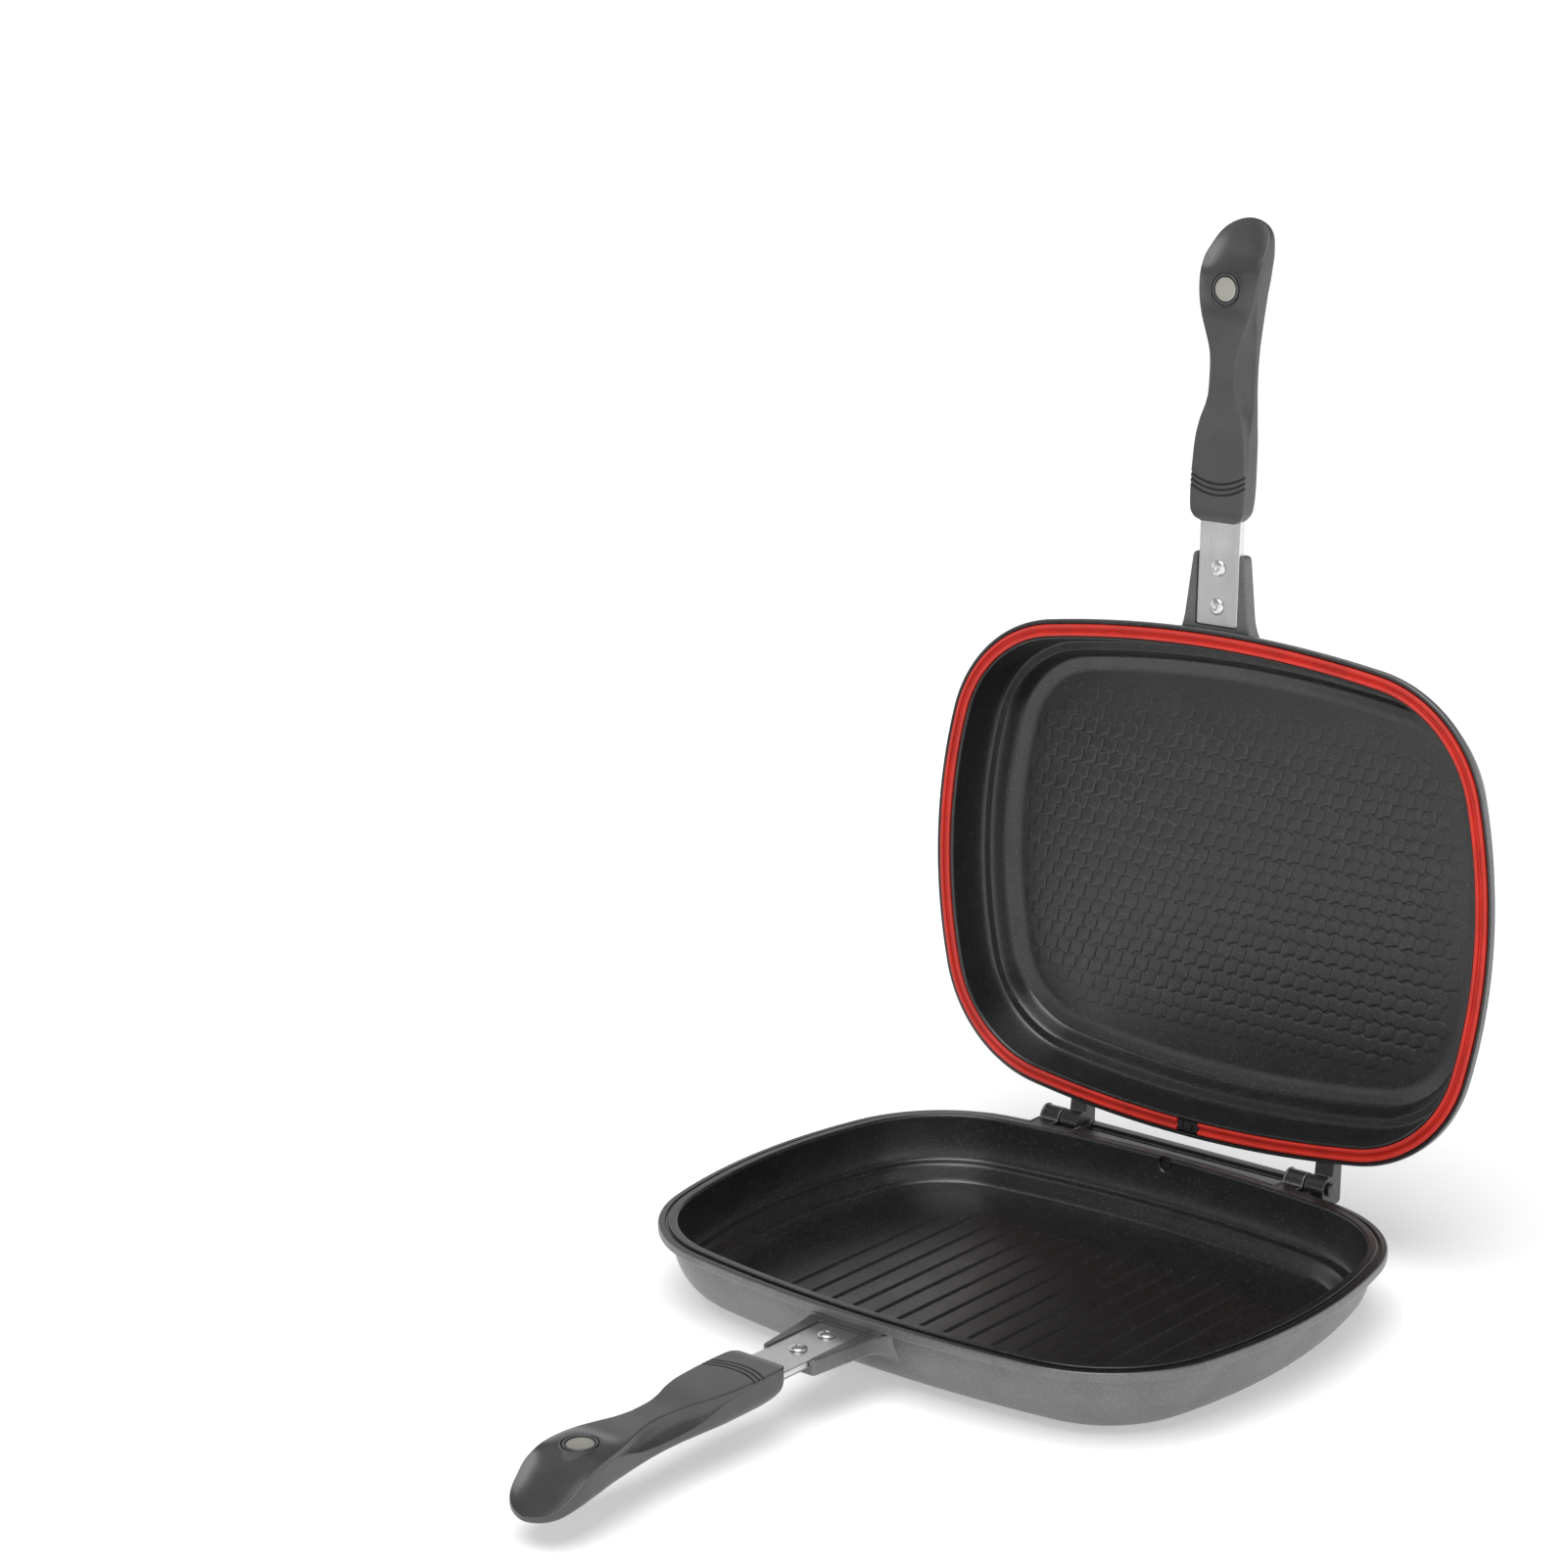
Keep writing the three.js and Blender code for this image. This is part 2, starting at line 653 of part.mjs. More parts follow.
function gripRing([along, faceWidth, faceDrop, shoulderWidth, scoopDrop, shoulderDrop, backDrop]) {
  const y = -(halfLength + gripStart + gripLength * along);
  const face = [faceWidth * gripHalfWidth, faceDrop * gripBackDepth];
  const shoulder = [shoulderWidth * gripHalfWidth, shoulderDrop * gripBackDepth];
  const brink = [shoulder[0], scoopDrop * gripBackDepth];
  const back = backDrop * gripBackDepth;
  const round = Math.min(gripEdgeRound, face[0] / 4, (brink[1] - face[1]) / 3);
  const scoop = [
    face[0] + (brink[0] - face[0]) * scoopShares[0],
    face[1] + (brink[1] - face[1]) * scoopShares[1],
  ];
  const side = [[face[0] - round, face[1]], [face[0], face[1] + round], scoop, brink, shoulder];
  const dome = backShares.map((share) => {
    const angle = (share * Math.PI) / 2;
    return [
      shoulder[0] * Math.cos(angle) ** backSquareness,
      shoulder[1] + (back - shoulder[1]) * Math.sin(angle) ** backSquareness,
    ];
  });
  const right = [...side, ...dome];
  const left = right.slice().reverse().map(([x, depth]) => [-x, depth]);
  const points = [[0, face[1]], ...right, [0, back], ...left];
  return points.map(([x, depth]) => [x, y, -depth]);
}

function grip() {
  const faceLevel = gripStationShares[3][2] * gripBackDepth;
  let body = loft(gripStationShares.map(gripRing));
  body = body.add(disc(collarRadius, [-collarRoot, -collarTop], 0, magnetY, discSides / 2));
  body = body.subtract(disc(magnetRadius + fitGap,
    [-collarTop - magnetRecess - magnetThickness - fitGap, 0], 0, magnetY, discSides / 2));
  for (let i = 0; i < 3; i += 1) {
    const apex = halfLength + gripStart + gripGrooveStart + i * gripGroovePitch;
    const centre = -(apex + gripGrooveArc);
    const depth = [-faceLevel - gripGrooveDepth, 0];
    const band = disc(gripGrooveArc, depth, 0, centre).subtract(
      disc(gripGrooveArc - gripGrooveWidth, [depth[0] - overrun, overrun], 0, centre));
    body = body.subtract(band.intersect(
      box([-gripHalfWidth, gripHalfWidth], [-apex - gripGrooveArc / 4, -apex + overrun],
        [depth[0] - overrun, overrun])));
  }
  return body.subtract(upright(strapPlan(fitGap), [-strapBottom - fitGap, -strapTop + fitGap]));
}

function magnet() {
  const top = -collarTop - magnetRecess;
  return disc(magnetRadius, [top - magnetThickness, top], 0, magnetY, discSides / 2);
}

// Headed hinge pin, driven in from the outer side
function hingePin({ side, headFace, blindEnd }) {
  const seat = headFace + side * fitGap;
  const shank = axle(pinRadius, ordered(seat, blindEnd + side * fitGap), hingeY, -hingeDrop);
  const head = axle(pinHeadRadius, ordered(seat, seat + side * pinHeadLength), hingeY, -hingeDrop);
  return shank.add(head);
}

// Assembly
const handleParts = (half) => [
  makeMesh(`${half}_handle_strap`, toGeometry(strap()), 'steel'),
  makeMesh(`${half}_rivet_inner`, toGeometry(rivet(rivetPlaces[0])), 'rivet'),
  makeMesh(`${half}_rivet_outer`, toGeometry(rivet(rivetPlaces[1])), 'rivet'),
  makeMesh(`${half}_grip`, toGeometry(grip()), 'phenolic'),
  makeMesh(`${half}_magnet`, toGeometry(magnet()), 'magnet'),
];

const lowerHalf = new THREE.Group();
lowerHalf.position.set(0, 0, halfHeight);
lowerHalf.add(makeMesh('lower_pan', toGeometry(lowerPan()), 'casting'));
lowerHalf.add(...handleParts('lower'));
hingePairs.forEach((pair) => {
  const name = pair.side < 0 ? 'hinge_pin_left' : 'hinge_pin_right';
  lowerHalf.add(makeMesh(name, toGeometry(hingePin(pair)), 'steel'));
});

const turnedOver = new THREE.Group();
turnedOver.position.set(0, -hingeY, hingeDrop);
turnedOver.rotation.y = Math.PI;
turnedOver.add(makeMesh('upper_pan', toGeometry(upperPan()), 'casting'));
turnedOver.add(makeMesh('lid_gasket', toGeometry(gasket()), 'silicone'));
turnedOver.add(makeMesh('gasket_clip', toGeometry(clip()), 'clip'));
turnedOver.add(...handleParts('upper'));

const upperHalf = new THREE.Group();
upperHalf.position.set(0, hingeY, halfHeight - hingeDrop);
upperHalf.rotation.x = -openAngle;
upperHalf.add(turnedOver);

const flipPan = new THREE.Group();
flipPan.add(lowerHalf, upperHalf);
export default flipPan;
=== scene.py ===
"""Looks of the double sided flip pan.

Every shape is drawn in millimetres in the frame of one half pan: the parting plane is z = 0, the
base points down, the hinge lies towards +Y and the handle towards -Y. The placement of a half then
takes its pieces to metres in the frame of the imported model.
"""

import logging
import math
from dataclasses import dataclass
from enum import Enum
from typing import Callable, Iterable, Sequence

import bmesh
import bpy
from mathutils import Matrix, Vector


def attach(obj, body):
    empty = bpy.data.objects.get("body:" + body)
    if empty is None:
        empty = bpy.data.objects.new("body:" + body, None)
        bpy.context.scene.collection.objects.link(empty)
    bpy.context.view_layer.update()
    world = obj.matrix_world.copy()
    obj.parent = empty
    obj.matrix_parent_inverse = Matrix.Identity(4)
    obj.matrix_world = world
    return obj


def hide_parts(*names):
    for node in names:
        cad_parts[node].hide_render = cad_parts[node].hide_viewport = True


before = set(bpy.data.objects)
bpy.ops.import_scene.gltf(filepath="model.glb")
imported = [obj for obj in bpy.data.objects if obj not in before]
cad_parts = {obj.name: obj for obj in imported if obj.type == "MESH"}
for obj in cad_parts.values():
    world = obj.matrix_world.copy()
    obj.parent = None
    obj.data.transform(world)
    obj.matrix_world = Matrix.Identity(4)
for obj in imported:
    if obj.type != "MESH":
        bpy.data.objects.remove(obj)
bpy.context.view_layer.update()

LOG = logging.getLogger("flip_pan")
Point = tuple[float, float, float]
Flat = tuple[float, float]
Item = bpy.types.Object
Material = bpy.types.Material
Node = bpy.types.Node
Socket = bpy.types.NodeSocket

HALF_HEIGHT = 38.5
HINGE_Y = 135.8
HINGE_DROP = 1.1
OPEN_ANGLE = math.radians(92.3)


class Half(Enum):
    """The two halves of the pan; the value is the prefix of their nodes."""

    LOWER = "lower"
    UPPER = "upper"

    @property
    def body(self) -> str:
        """Returns the name of the body that the half's pieces ride on."""
        return f"{self.value}_half"

    def placement(self) -> Matrix:
        """Returns the matrix from half-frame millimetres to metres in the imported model."""
        metres = Matrix.Scale(0.001, 4)
        if self is Half.LOWER:
            return metres @ Matrix.Translation((0, 0, HALF_HEIGHT))
        return (metres @ Matrix.Translation((0, HINGE_Y, HALF_HEIGHT - HINGE_DROP))
                @ Matrix.Rotation(-OPEN_ANGLE, 4, "X")
                @ Matrix.Translation((0, -HINGE_Y, HINGE_DROP))
                @ Matrix.Rotation(math.pi, 4, "Y"))


class Coat(int, Enum):
    """Places of the finishes in a casting's material list."""

    PAINT = 0
    NON_STICK = 1
    BARE_RING = 2
    RAYED_DISC = 3


class NodeTree:
    """Short calls for one shader or group node tree."""

    def __init__(self, tree: bpy.types.NodeTree) -> None:
        """Wraps a tree.

        Args:
            tree: The node tree that the calls add to.
        """
        self.tree = tree

    def feed(self, source: Socket | float | tuple, target: Socket) -> None:
        """Links a socket to an input, or sets the input to a constant."""
        if isinstance(source, Socket):
            self.tree.links.new(source, target)
        else:
            target.default_value = source

    def add(self, kind: str, values: dict | None = None, **settings: object) -> Node:
        """Adds a node.

        Args:
            kind: Blender's name of the node type, without its common prefix.
            values: What its inputs get, by name or number: sockets or constants.
            settings: Properties of the node itself.

        Returns:
            The new node.
        """
        node = self.tree.nodes.new(kind if kind.startswith("Node") else "ShaderNode" + kind)
        for name, value in settings.items():
            setattr(node, name, value)
        for key, value in (values or {}).items():
            self.feed(value, node.inputs[key])
        return node

    def math(self, operation: str, first: Socket | float, second: Socket | float = 0.0) -> Socket:
        """Adds a math node and returns the socket that holds the result."""
        return self.add("Math", {0: first, 1: second}, operation=operation).outputs[0]

    def band(self, value: Socket, low: float, high: float, start: float = 0.0, end: float = 1.0) -> Socket:
        """Maps a value smoothly from one range to another.

        Args:
            value: The socket to map.
            low: Value that gives start.
            high: Value that gives end.
            start: Result at low.
            end: Result at high.

        Returns:
            The mapped socket.
        """
        return self.add("MapRange", {"Value": value, "From Min": low, "From Max": high, "To Min": start,
                                     "To Max": end}, interpolation_type="SMOOTHSTEP").outputs["Result"]

    def blend(self, factor: Socket, first: Socket | tuple, second: Socket | tuple) -> Socket:
        """Mixes two colours.

        Args:
            factor: The mask.
            first: Colour or socket where the mask is 0.
            second: Colour or socket where the mask is 1.

        Returns:
            The mixed colour socket.
        """
        return self.add("Mix", {0: factor, 6: first, 7: second}, data_type="RGBA").outputs[2]


class Effects:
    """Shader node groups that the finishes share. Each is built once, with named sockets."""

    LID_STARTS_AT_Y = 0.12
    LID_BASE_MIDDLE_Z = 0.1715
    LATHE_PITCH = 0.00035
    RAYS_PER_RADIAN = 70.0
    RAY_PIECES_PER_METRE = 60.0
    LINES_PER_METRE = 5200.0
    LINE_PIECES_PER_METRE = 25.0

    def __init__(self) -> None:
        """Builds every group."""
        self.speckle = self._group("Fleck specks", ("Size", "Share"), ("Mask", "Tone"), self._speckle)
        self.grain = self._group("Surface grain", ("Size",), ("Height", "Tone"), self._grain)
        self.handling = self._group("Handling marks", ("Size", "Spread"), ("Mask",), self._handling)
        self.lathe = self._group("Lathe lines", ("Rays",), ("Height", "Tone"), self._lathe)
        self.rolled = self._group("Rolling lines", (), ("Height", "Tone"), self._rolled)

    @staticmethod
    def _group(name: str, inputs: Iterable[str], outputs: Iterable[str],
               fill: Callable[..., list[Socket]]) -> bpy.types.NodeTree:
        """Makes one group.

        Args:
            name: The group's name.
            inputs: Names of its inputs.
            outputs: Names of its outputs.
            fill: Method that adds the nodes, given the tree, the object coordinates in metres and
                the input sockets, and returns the output sockets in order.

        Returns:
            The finished group.
        """
        tree = bpy.data.node_groups.new(name, "ShaderNodeTree")
        for direction, sockets in (("INPUT", inputs), ("OUTPUT", outputs)):
            for socket in sockets:
                tree.interface.new_socket(socket, in_out=direction, socket_type="NodeSocketFloat")
        nodes = NodeTree(tree)
        given = nodes.add("NodeGroupInput").outputs
        place = nodes.add("TexCoord").outputs["Object"]
        nodes.add("NodeGroupOutput", dict(enumerate(fill(nodes, place, given))))
        return tree

    @staticmethod
    def _speckle(nodes: NodeTree, place: Socket, given: Sequence[Socket]) -> list[Socket]:
        """Fills the group of small flecks; returns their mask and tone."""
        cells = nodes.add("TexVoronoi", {"Vector": place, "Scale": given["Size"], "Randomness": 1.0})
        tones = nodes.add("SeparateColor", {"Color": cells.outputs["Color"]})
        chosen = nodes.math("LESS_THAN", tones.outputs[0], given["Share"])
        core = nodes.band(cells.outputs["Distance"], 0.55, 0.2)
        return [nodes.math("MULTIPLY", chosen, core), tones.outputs[1]]

    @staticmethod
    def _grain(nodes: NodeTree, place: Socket, given: Sequence[Socket]) -> list[Socket]:
        """Fills the group of fine moulded or sprayed grain; returns its height and tone."""
        fine = nodes.add("TexNoise", {"Vector": place, "Scale": given["Size"], "Detail": 3.0,
                                      "Roughness": 0.6})
        wide = nodes.add("TexNoise", {"Vector": place, "Scale": 60.0, "Detail": 2.0})
        return [fine.outputs["Fac"], wide.outputs["Fac"]]

    @staticmethod
    def _handling(nodes: NodeTree, place: Socket, given: Sequence[Socket]) -> list[Socket]:
        """Fills the group of faint smears left by handling; returns their mask."""
        smear = nodes.add("TexNoise", {"Vector": place, "Scale": given["Size"], "Detail": 5.0,
                                       "Roughness": 0.62, "Distortion": 0.6})
        return [nodes.band(nodes.math("SUBTRACT", smear.outputs["Fac"], given["Spread"]), 0.0, 0.22)]

    @classmethod
    def _lathe(cls, nodes: NodeTree, place: Socket, given: Sequence[Socket]) -> list[Socket]:
        """Fills the group of turned lines round a base's middle, and its rays; returns height and tone."""
        x, y, z = nodes.add("SeparateXYZ", {0: place}).outputs
        on_lid = nodes.math("LESS_THAN", cls.LID_STARTS_AT_Y, y)
        lid_height = nodes.math("MULTIPLY", nodes.math("SUBTRACT", z, cls.LID_BASE_MIDDLE_Z), on_lid)
        across = nodes.math("ADD", lid_height, nodes.math("MULTIPLY", y, nodes.math("SUBTRACT", 1.0, on_lid)))
        square = nodes.math("ADD", nodes.math("MULTIPLY", x, x), nodes.math("MULTIPLY", across, across))
        reach = nodes.math("SQRT", square)
        turn = nodes.math("ARCTAN2", across, x)
        lines = nodes.add("TexNoise", {"W": nodes.math("DIVIDE", reach, cls.LATHE_PITCH), "Scale": 1.0,
                                       "Detail": 2.0}, noise_dimensions="1D")
        spot = nodes.add("CombineXYZ", {0: nodes.math("MULTIPLY", turn, cls.RAYS_PER_RADIAN),
                                        1: nodes.math("MULTIPLY", reach, cls.RAY_PIECES_PER_METRE)})
        rays = nodes.add("TexNoise", {"Vector": spot.outputs[0], "Scale": 1.0, "Detail": 3.0},
                         noise_dimensions="2D")
        streak = nodes.band(rays.outputs["Fac"], 0.42, 0.66)
        return [lines.outputs["Fac"], nodes.math("MULTIPLY", streak, given["Rays"])]

    @classmethod
    def _rolled(cls, nodes: NodeTree, place: Socket, given: Sequence[Socket]) -> list[Socket]:
        """Fills the group of lines that run along rolled strip; returns height and tone."""
        pitches = (cls.LINES_PER_METRE, cls.LINE_PIECES_PER_METRE, cls.LINE_PIECES_PER_METRE)
        parts = nodes.add("SeparateXYZ", {0: place}).outputs
        scaled = [nodes.math("MULTIPLY", part, pitch) for part, pitch in zip(parts, pitches)]
        spot = nodes.add("CombineXYZ", dict(enumerate(scaled)))
        lines = nodes.add("TexNoise", {"Vector": spot.outputs[0], "Scale": 1.0, "Detail": 3.0})
        cloud = nodes.add("TexNoise", {"Vector": place, "Scale": 45.0, "Detail": 2.0})
        return [lines.outputs["Fac"], cloud.outputs["Fac"]]


class Surface:
    """One material in the making: its tree and its Principled shader."""

    def __init__(self, name: str, constants: dict[str, object]) -> None:
        """Makes the material.

        Args:
            name: The material's name.
            constants: Constants for the shader's inputs, by name.
        """
        self.material = bpy.data.materials.new(name)
        self.material.use_nodes = True
        self.nodes = NodeTree(self.material.node_tree)
        self.shader = self.material.node_tree.nodes["Principled BSDF"]
        self.set(constants)

    def set(self, values: dict[str, object]) -> None:
        """Feeds inputs of the shader, by name, with sockets or constants."""
        for name, value in values.items():
            self.nodes.feed(value, self.shader.inputs[name])

    def effect(self, group: bpy.types.NodeTree, **values: float) -> Sequence[Socket]:
        """Places a shared group with input values by name; returns its outputs."""
        return self.nodes.add("Group", values, node_tree=group).outputs

    def bump(self, height: Socket, depth: float) -> None:
        """Feeds the normal from a height.

        Args:
            height: Socket with the height from 0 to 1.
            depth: Height of 1, in metres.
        """
        node = self.nodes.add("Bump", {"Strength": 1.0, "Distance": depth, "Height": height})
        self.set({"Normal": node.outputs["Normal"]})

    def roughen(self, detail: Socket, smooth: float, rough: float, smears: Socket, weight: float,
                low: float = 0.3, high: float = 0.7) -> None:
        """Feeds the roughness from a detail and from smears.

        Args:
            detail: Socket of the detail.
            smooth: Roughness where the detail is low.
            rough: Roughness where it is high.
            smears: Mask of the smears.
            weight: What a full smear adds to the roughness.
            low: Value of the detail that counts as low.
            high: Value that counts as high.
        """
        smeared = self.nodes.math("MULTIPLY", smears, weight)
        grained = self.nodes.band(detail, low, high, smooth, rough)
        self.set({"Roughness": self.nodes.math("ADD", smeared, grained)})


@dataclass(frozen=True)
class Finish:
    """Common part of the finishes: a Principled shader whose inputs are fed by the shared effects."""

    name: str
    colour: Point
    roughness: float
    metallic: float = 0.0

    def material(self, effects: Effects) -> Material:
        """Makes the finish's material.

        Args:
            effects: The shared node groups.

        Returns:
            The new material.
        """
        surface = Surface(self.name, {"Base Color": self.shade(1.0), "Roughness": self.roughness,
                                      "Metallic": self.metallic})
        self.dress(surface, effects)
        return surface.material

    def dress(self, surface: Surface, effects: Effects) -> None:
        """Feeds the shader with the detail of this finish.

        Args:
            surface: The material in the making.
            effects: The shared node groups.
        """
        raise NotImplementedError

    def shade(self, factor: float) -> tuple[float, float, float, float]:
        """Returns the finish's colour times a factor, with an alpha of 1."""
        return (*(min(1.0, part * factor) for part in self.colour), 1.0)

    def drift(self, surface: Surface, tone: Socket, dark: float, light: float) -> Socket:
        """Lets the colour drift with a tone.

        Args:
            surface: The material in the making.
            tone: Socket of the tone.
            dark: Factor of the colour where the tone is low.
            light: Factor where it is high.

        Returns:
            The colour socket.
        """
        return surface.nodes.blend(surface.nodes.band(tone, 0.3, 0.7), self.shade(dark), self.shade(light))


@dataclass(frozen=True)
class MetallicPaint(Finish):
    """Sprayed metallic paint with flakes that catch the light."""

    def dress(self, surface: Surface, effects: Effects) -> None:
        """Adds flakes, a slow drift of tone, smears, a thin lacquer and the spray's grain."""
        nodes = surface.nodes
        flakes = surface.effect(effects.speckle, Size=1900.0, Share=0.42)
        grain = surface.effect(effects.grain, Size=1500.0)
        smears = surface.effect(effects.handling, Size=16.0, Spread=0.5)
        bright = nodes.blend(flakes["Tone"], self.shade(0.7), self.shade(2.3))
        mask = nodes.math("MULTIPLY", flakes["Mask"], 0.75)
        surface.set({"Base Color": nodes.blend(mask, self.drift(surface, grain["Tone"], 0.93, 1.06), bright),
                     "Coat Roughness": 0.25, "Coat Weight": 0.25})
        surface.roughen(flakes["Tone"], self.roughness - 0.05, self.roughness + 0.05, smears["Mask"], 0.06,
                        0.0, 1.0)
        surface.bump(grain["Height"], 0.00005)


@dataclass(frozen=True)
class NonStick(Finish):
    """Black non-stick coating with sparse pale specks and a soft orange peel."""

    def dress(self, surface: Surface, effects: Effects) -> None:
        """Adds specks, orange peel and faint smears."""
        nodes = surface.nodes
        specks = surface.effect(effects.speckle, Size=1150.0, Share=0.3)
        grain = surface.effect(effects.grain, Size=1100.0)
        smears = surface.effect(effects.handling, Size=20.0, Spread=0.52)
        mask = nodes.math("MULTIPLY", specks["Mask"], nodes.band(specks["Tone"], 0.2, 0.9, 0.1, 0.9))
        surface.set({"Base Color": nodes.blend(mask, self.shade(1.0), self.shade(9.0)),
                     "Specular IOR Level": 0.9})
        surface.roughen(grain["Tone"], self.roughness - 0.02, self.roughness + 0.03, smears["Mask"], 0.05)
        surface.bump(grain["Height"], 0.00007)


@dataclass(frozen=True)
class TurnedMetal(Finish):
    """Turned aluminium, bare or painted over; rays are short dark strokes that point to the middle."""

    rays: float = 0.0

    def dress(self, surface: Surface, effects: Effects) -> None:
        """Adds lathe lines, rays and smears."""
        turned = surface.effect(effects.lathe, Rays=self.rays)
        smears = surface.effect(effects.handling, Size=24.0, Spread=0.5)
        lines = surface.nodes.blend(turned["Height"], self.shade(0.84), self.shade(1.08))
        surface.set({"Base Color": surface.nodes.blend(turned["Tone"], lines, self.shade(0.62))})
        surface.roughen(turned["Height"], self.roughness - 0.05, self.roughness + 0.07, smears["Mask"], 0.08)
        surface.bump(turned["Height"], 0.00004)


@dataclass(frozen=True)
class RolledSteel(Finish):
    """Bright strip with faint lines along its length."""

    def dress(self, surface: Surface, effects: Effects) -> None:
        """Adds rolling lines, cloudy tone and smears."""
        rolled = surface.effect(effects.rolled)
        smears = surface.effect(effects.handling, Size=60.0, Spread=0.5)
        cloud = surface.nodes.band(rolled["Tone"], 0.35, 0.75, 0.0, 0.35)
        lines = self.drift(surface, rolled["Height"], 0.95, 1.03)
        surface.set({"Base Color": surface.nodes.blend(cloud, lines, self.shade(0.82))})
        surface.roughen(rolled["Height"], self.roughness - 0.04, self.roughness + 0.06, smears["Mask"], 0.1)
        surface.bump(rolled["Height"], 0.00003)


@dataclass(frozen=True)
class Moulded(Finish):
    """Moulded plastic or rubber with a fine grain, dusty specks and smears."""

    grain_size: float = 1900.0
    grain_depth: float = 0.00006
    dust: float = 0.08

    def dress(self, surface: Surface, effects: Effects) -> None:
        """Adds the mould's grain, a slow drift of tone, dust and smears."""
        grain = surface.effect(effects.grain, Size=self.grain_size)
        specks = surface.effect(effects.speckle, Size=1500.0, Share=self.dust)
        smears = surface.effect(effects.handling, Size=30.0, Spread=0.5)
        mask = surface.nodes.math("MULTIPLY", specks["Mask"], 0.5)
        drift = self.drift(surface, grain["Tone"], 0.9, 1.1)
        surface.set({"Base Color": surface.nodes.blend(mask, drift, self.shade(1.6)),
                     "Specular IOR Level": 0.65})
        surface.roughen(grain["Height"], self.roughness - 0.04, self.roughness + 0.05, smears["Mask"], 0.07)
        surface.bump(grain["Height"], self.grain_depth)


class Finishes:
    """All finishes of the pan, made once and shared by its pieces."""

    def __init__(self) -> None:
        """Builds the shared effects and every material."""
        effects = Effects()
        self.paint = MetallicPaint("graphite_paint", (0.17, 0.17, 0.175), 0.44, 0.75).material(effects)
        non_stick = NonStick("black_non_stick", (0.0085, 0.0086, 0.0088), 0.34).material(effects)
        turned = TurnedMetal("turned_aluminium", (0.86, 0.86, 0.87), 0.3, 0.55).material(effects)
        rayed = TurnedMetal("painted_rays", (0.2, 0.2, 0.205), 0.42, 0.8, 0.6).material(effects)
        self.casting = [self.paint, non_stick, turned, rayed]
        self.silicone = Moulded("red_silicone", (0.6, 0.02, 0.008), 0.5, grain_size=800.0,
                                grain_depth=0.00003, dust=0.05).material(effects)
        self.phenolic = Moulded("satin_phenolic", (0.06, 0.06, 0.062), 0.31).material(effects)
        self.clip = Moulded("clip_plastic", (0.012, 0.012, 0.012), 0.4).material(effects)
        self.steel = RolledSteel("rolled_steel", (0.83, 0.83, 0.83), 0.32, 1.0).material(effects)
        self.blackened = RolledSteel("blackened_pin_steel", (0.1, 0.1, 0.1), 0.38, 1.0).material(effects)
        self.nickel = RolledSteel("nickel_plate", (0.62, 0.61, 0.55), 0.42, 1.0).material(effects)


@dataclass(frozen=True)
class PlanOutline:
    """Plan of the pan: side, corner and front arcs that meet tangentially."""

    width: float = 330.0
    length: float = 258.0
    side_radius: float = 279.0
    front_radius: float = 658.0
    corner_radius: float = 71.5
    steps: tuple[int, int, int] = (12, 26, 14)

    def stations(self) -> list[tuple[float, float, float, float]]:
        """Returns the outline's points with their outward normals, anticlockwise from +X."""
        half_width, half_length = self.width / 2, self.length / 2
        side = (half_width - self.side_radius, 0.0)
        front = (0.0, half_length - self.front_radius)
        to_side, to_front = self.side_radius - self.corner_radius, self.front_radius - self.corner_radius
        across = (front[0] - side[0], front[1] - side[1])
        span = math.hypot(*across)
        along = (to_side ** 2 - to_front ** 2 + span ** 2) / (2 * span)
        rise = math.sqrt(to_side ** 2 - along ** 2)
        unit = (across[0] / span, across[1] / span)
        corner = (side[0] + along * unit[0] - rise * unit[1], side[1] + along * unit[1] + rise * unit[0])
        side_end = math.atan2(corner[1] - side[1], corner[0] - side[0])
        front_start = math.atan2(corner[1] - front[1], corner[0] - front[0])
        arcs = ((side, self.side_radius, 0.0, side_end, self.steps[0]),
                (corner, self.corner_radius, side_end, front_start, self.steps[1]),
                (front, self.front_radius, front_start, math.pi / 2, self.steps[2]))
        quarter = []
        for (x, y), radius, start, end, count in arcs:
            for i in range(count):
                turn = start + (end - start) * i / count
                normal = (math.cos(turn), math.sin(turn))
                quarter.append((x + radius * normal[0], y + radius * normal[1], *normal))
        half = quarter + [(0.0, half_length, 0.0, 1.0)] + [(-x, y, -u, v) for x, y, u, v in quarter[:0:-1]]
        return half + [(-half_width, 0.0, -1.0, 0.0)] + [(x, -y, u, -v) for x, y, u, v in half[:0:-1]]

    def ring(self, inset: float, height: float) -> list[Point]:
        """Returns the outline moved in by inset, at a height."""
        return [(x - u * inset, y - v * inset, height) for x, y, u, v in self.stations()]

    def rear_y(self, x: float, inset: float = 0.0) -> float:
        """Returns Y of the rear arc, moved in by inset, at a given x."""
        centre = self.length / 2 - self.front_radius
        return centre + math.sqrt((self.front_radius - inset) ** 2 - x * x)


OUTLINE = PlanOutline()


def quarter_ellipse(start: Flat, reach: Flat, steps: int) -> list[Flat]:
    """Draws a quarter ellipse that leaves its start vertically and ends level.

    Args:
        start: Inset and height of the upper end.
        reach: How far it runs in and down.
        steps: Number of pieces.

    Returns:
        Points from the upper end to the lower one.
    """
    turns = [math.pi / 2 * i / steps for i in range(steps + 1)]
    return [(start[0] + reach[0] * (1 - math.cos(turn)), start[1] - reach[1] * math.sin(turn))
            for turn in turns]


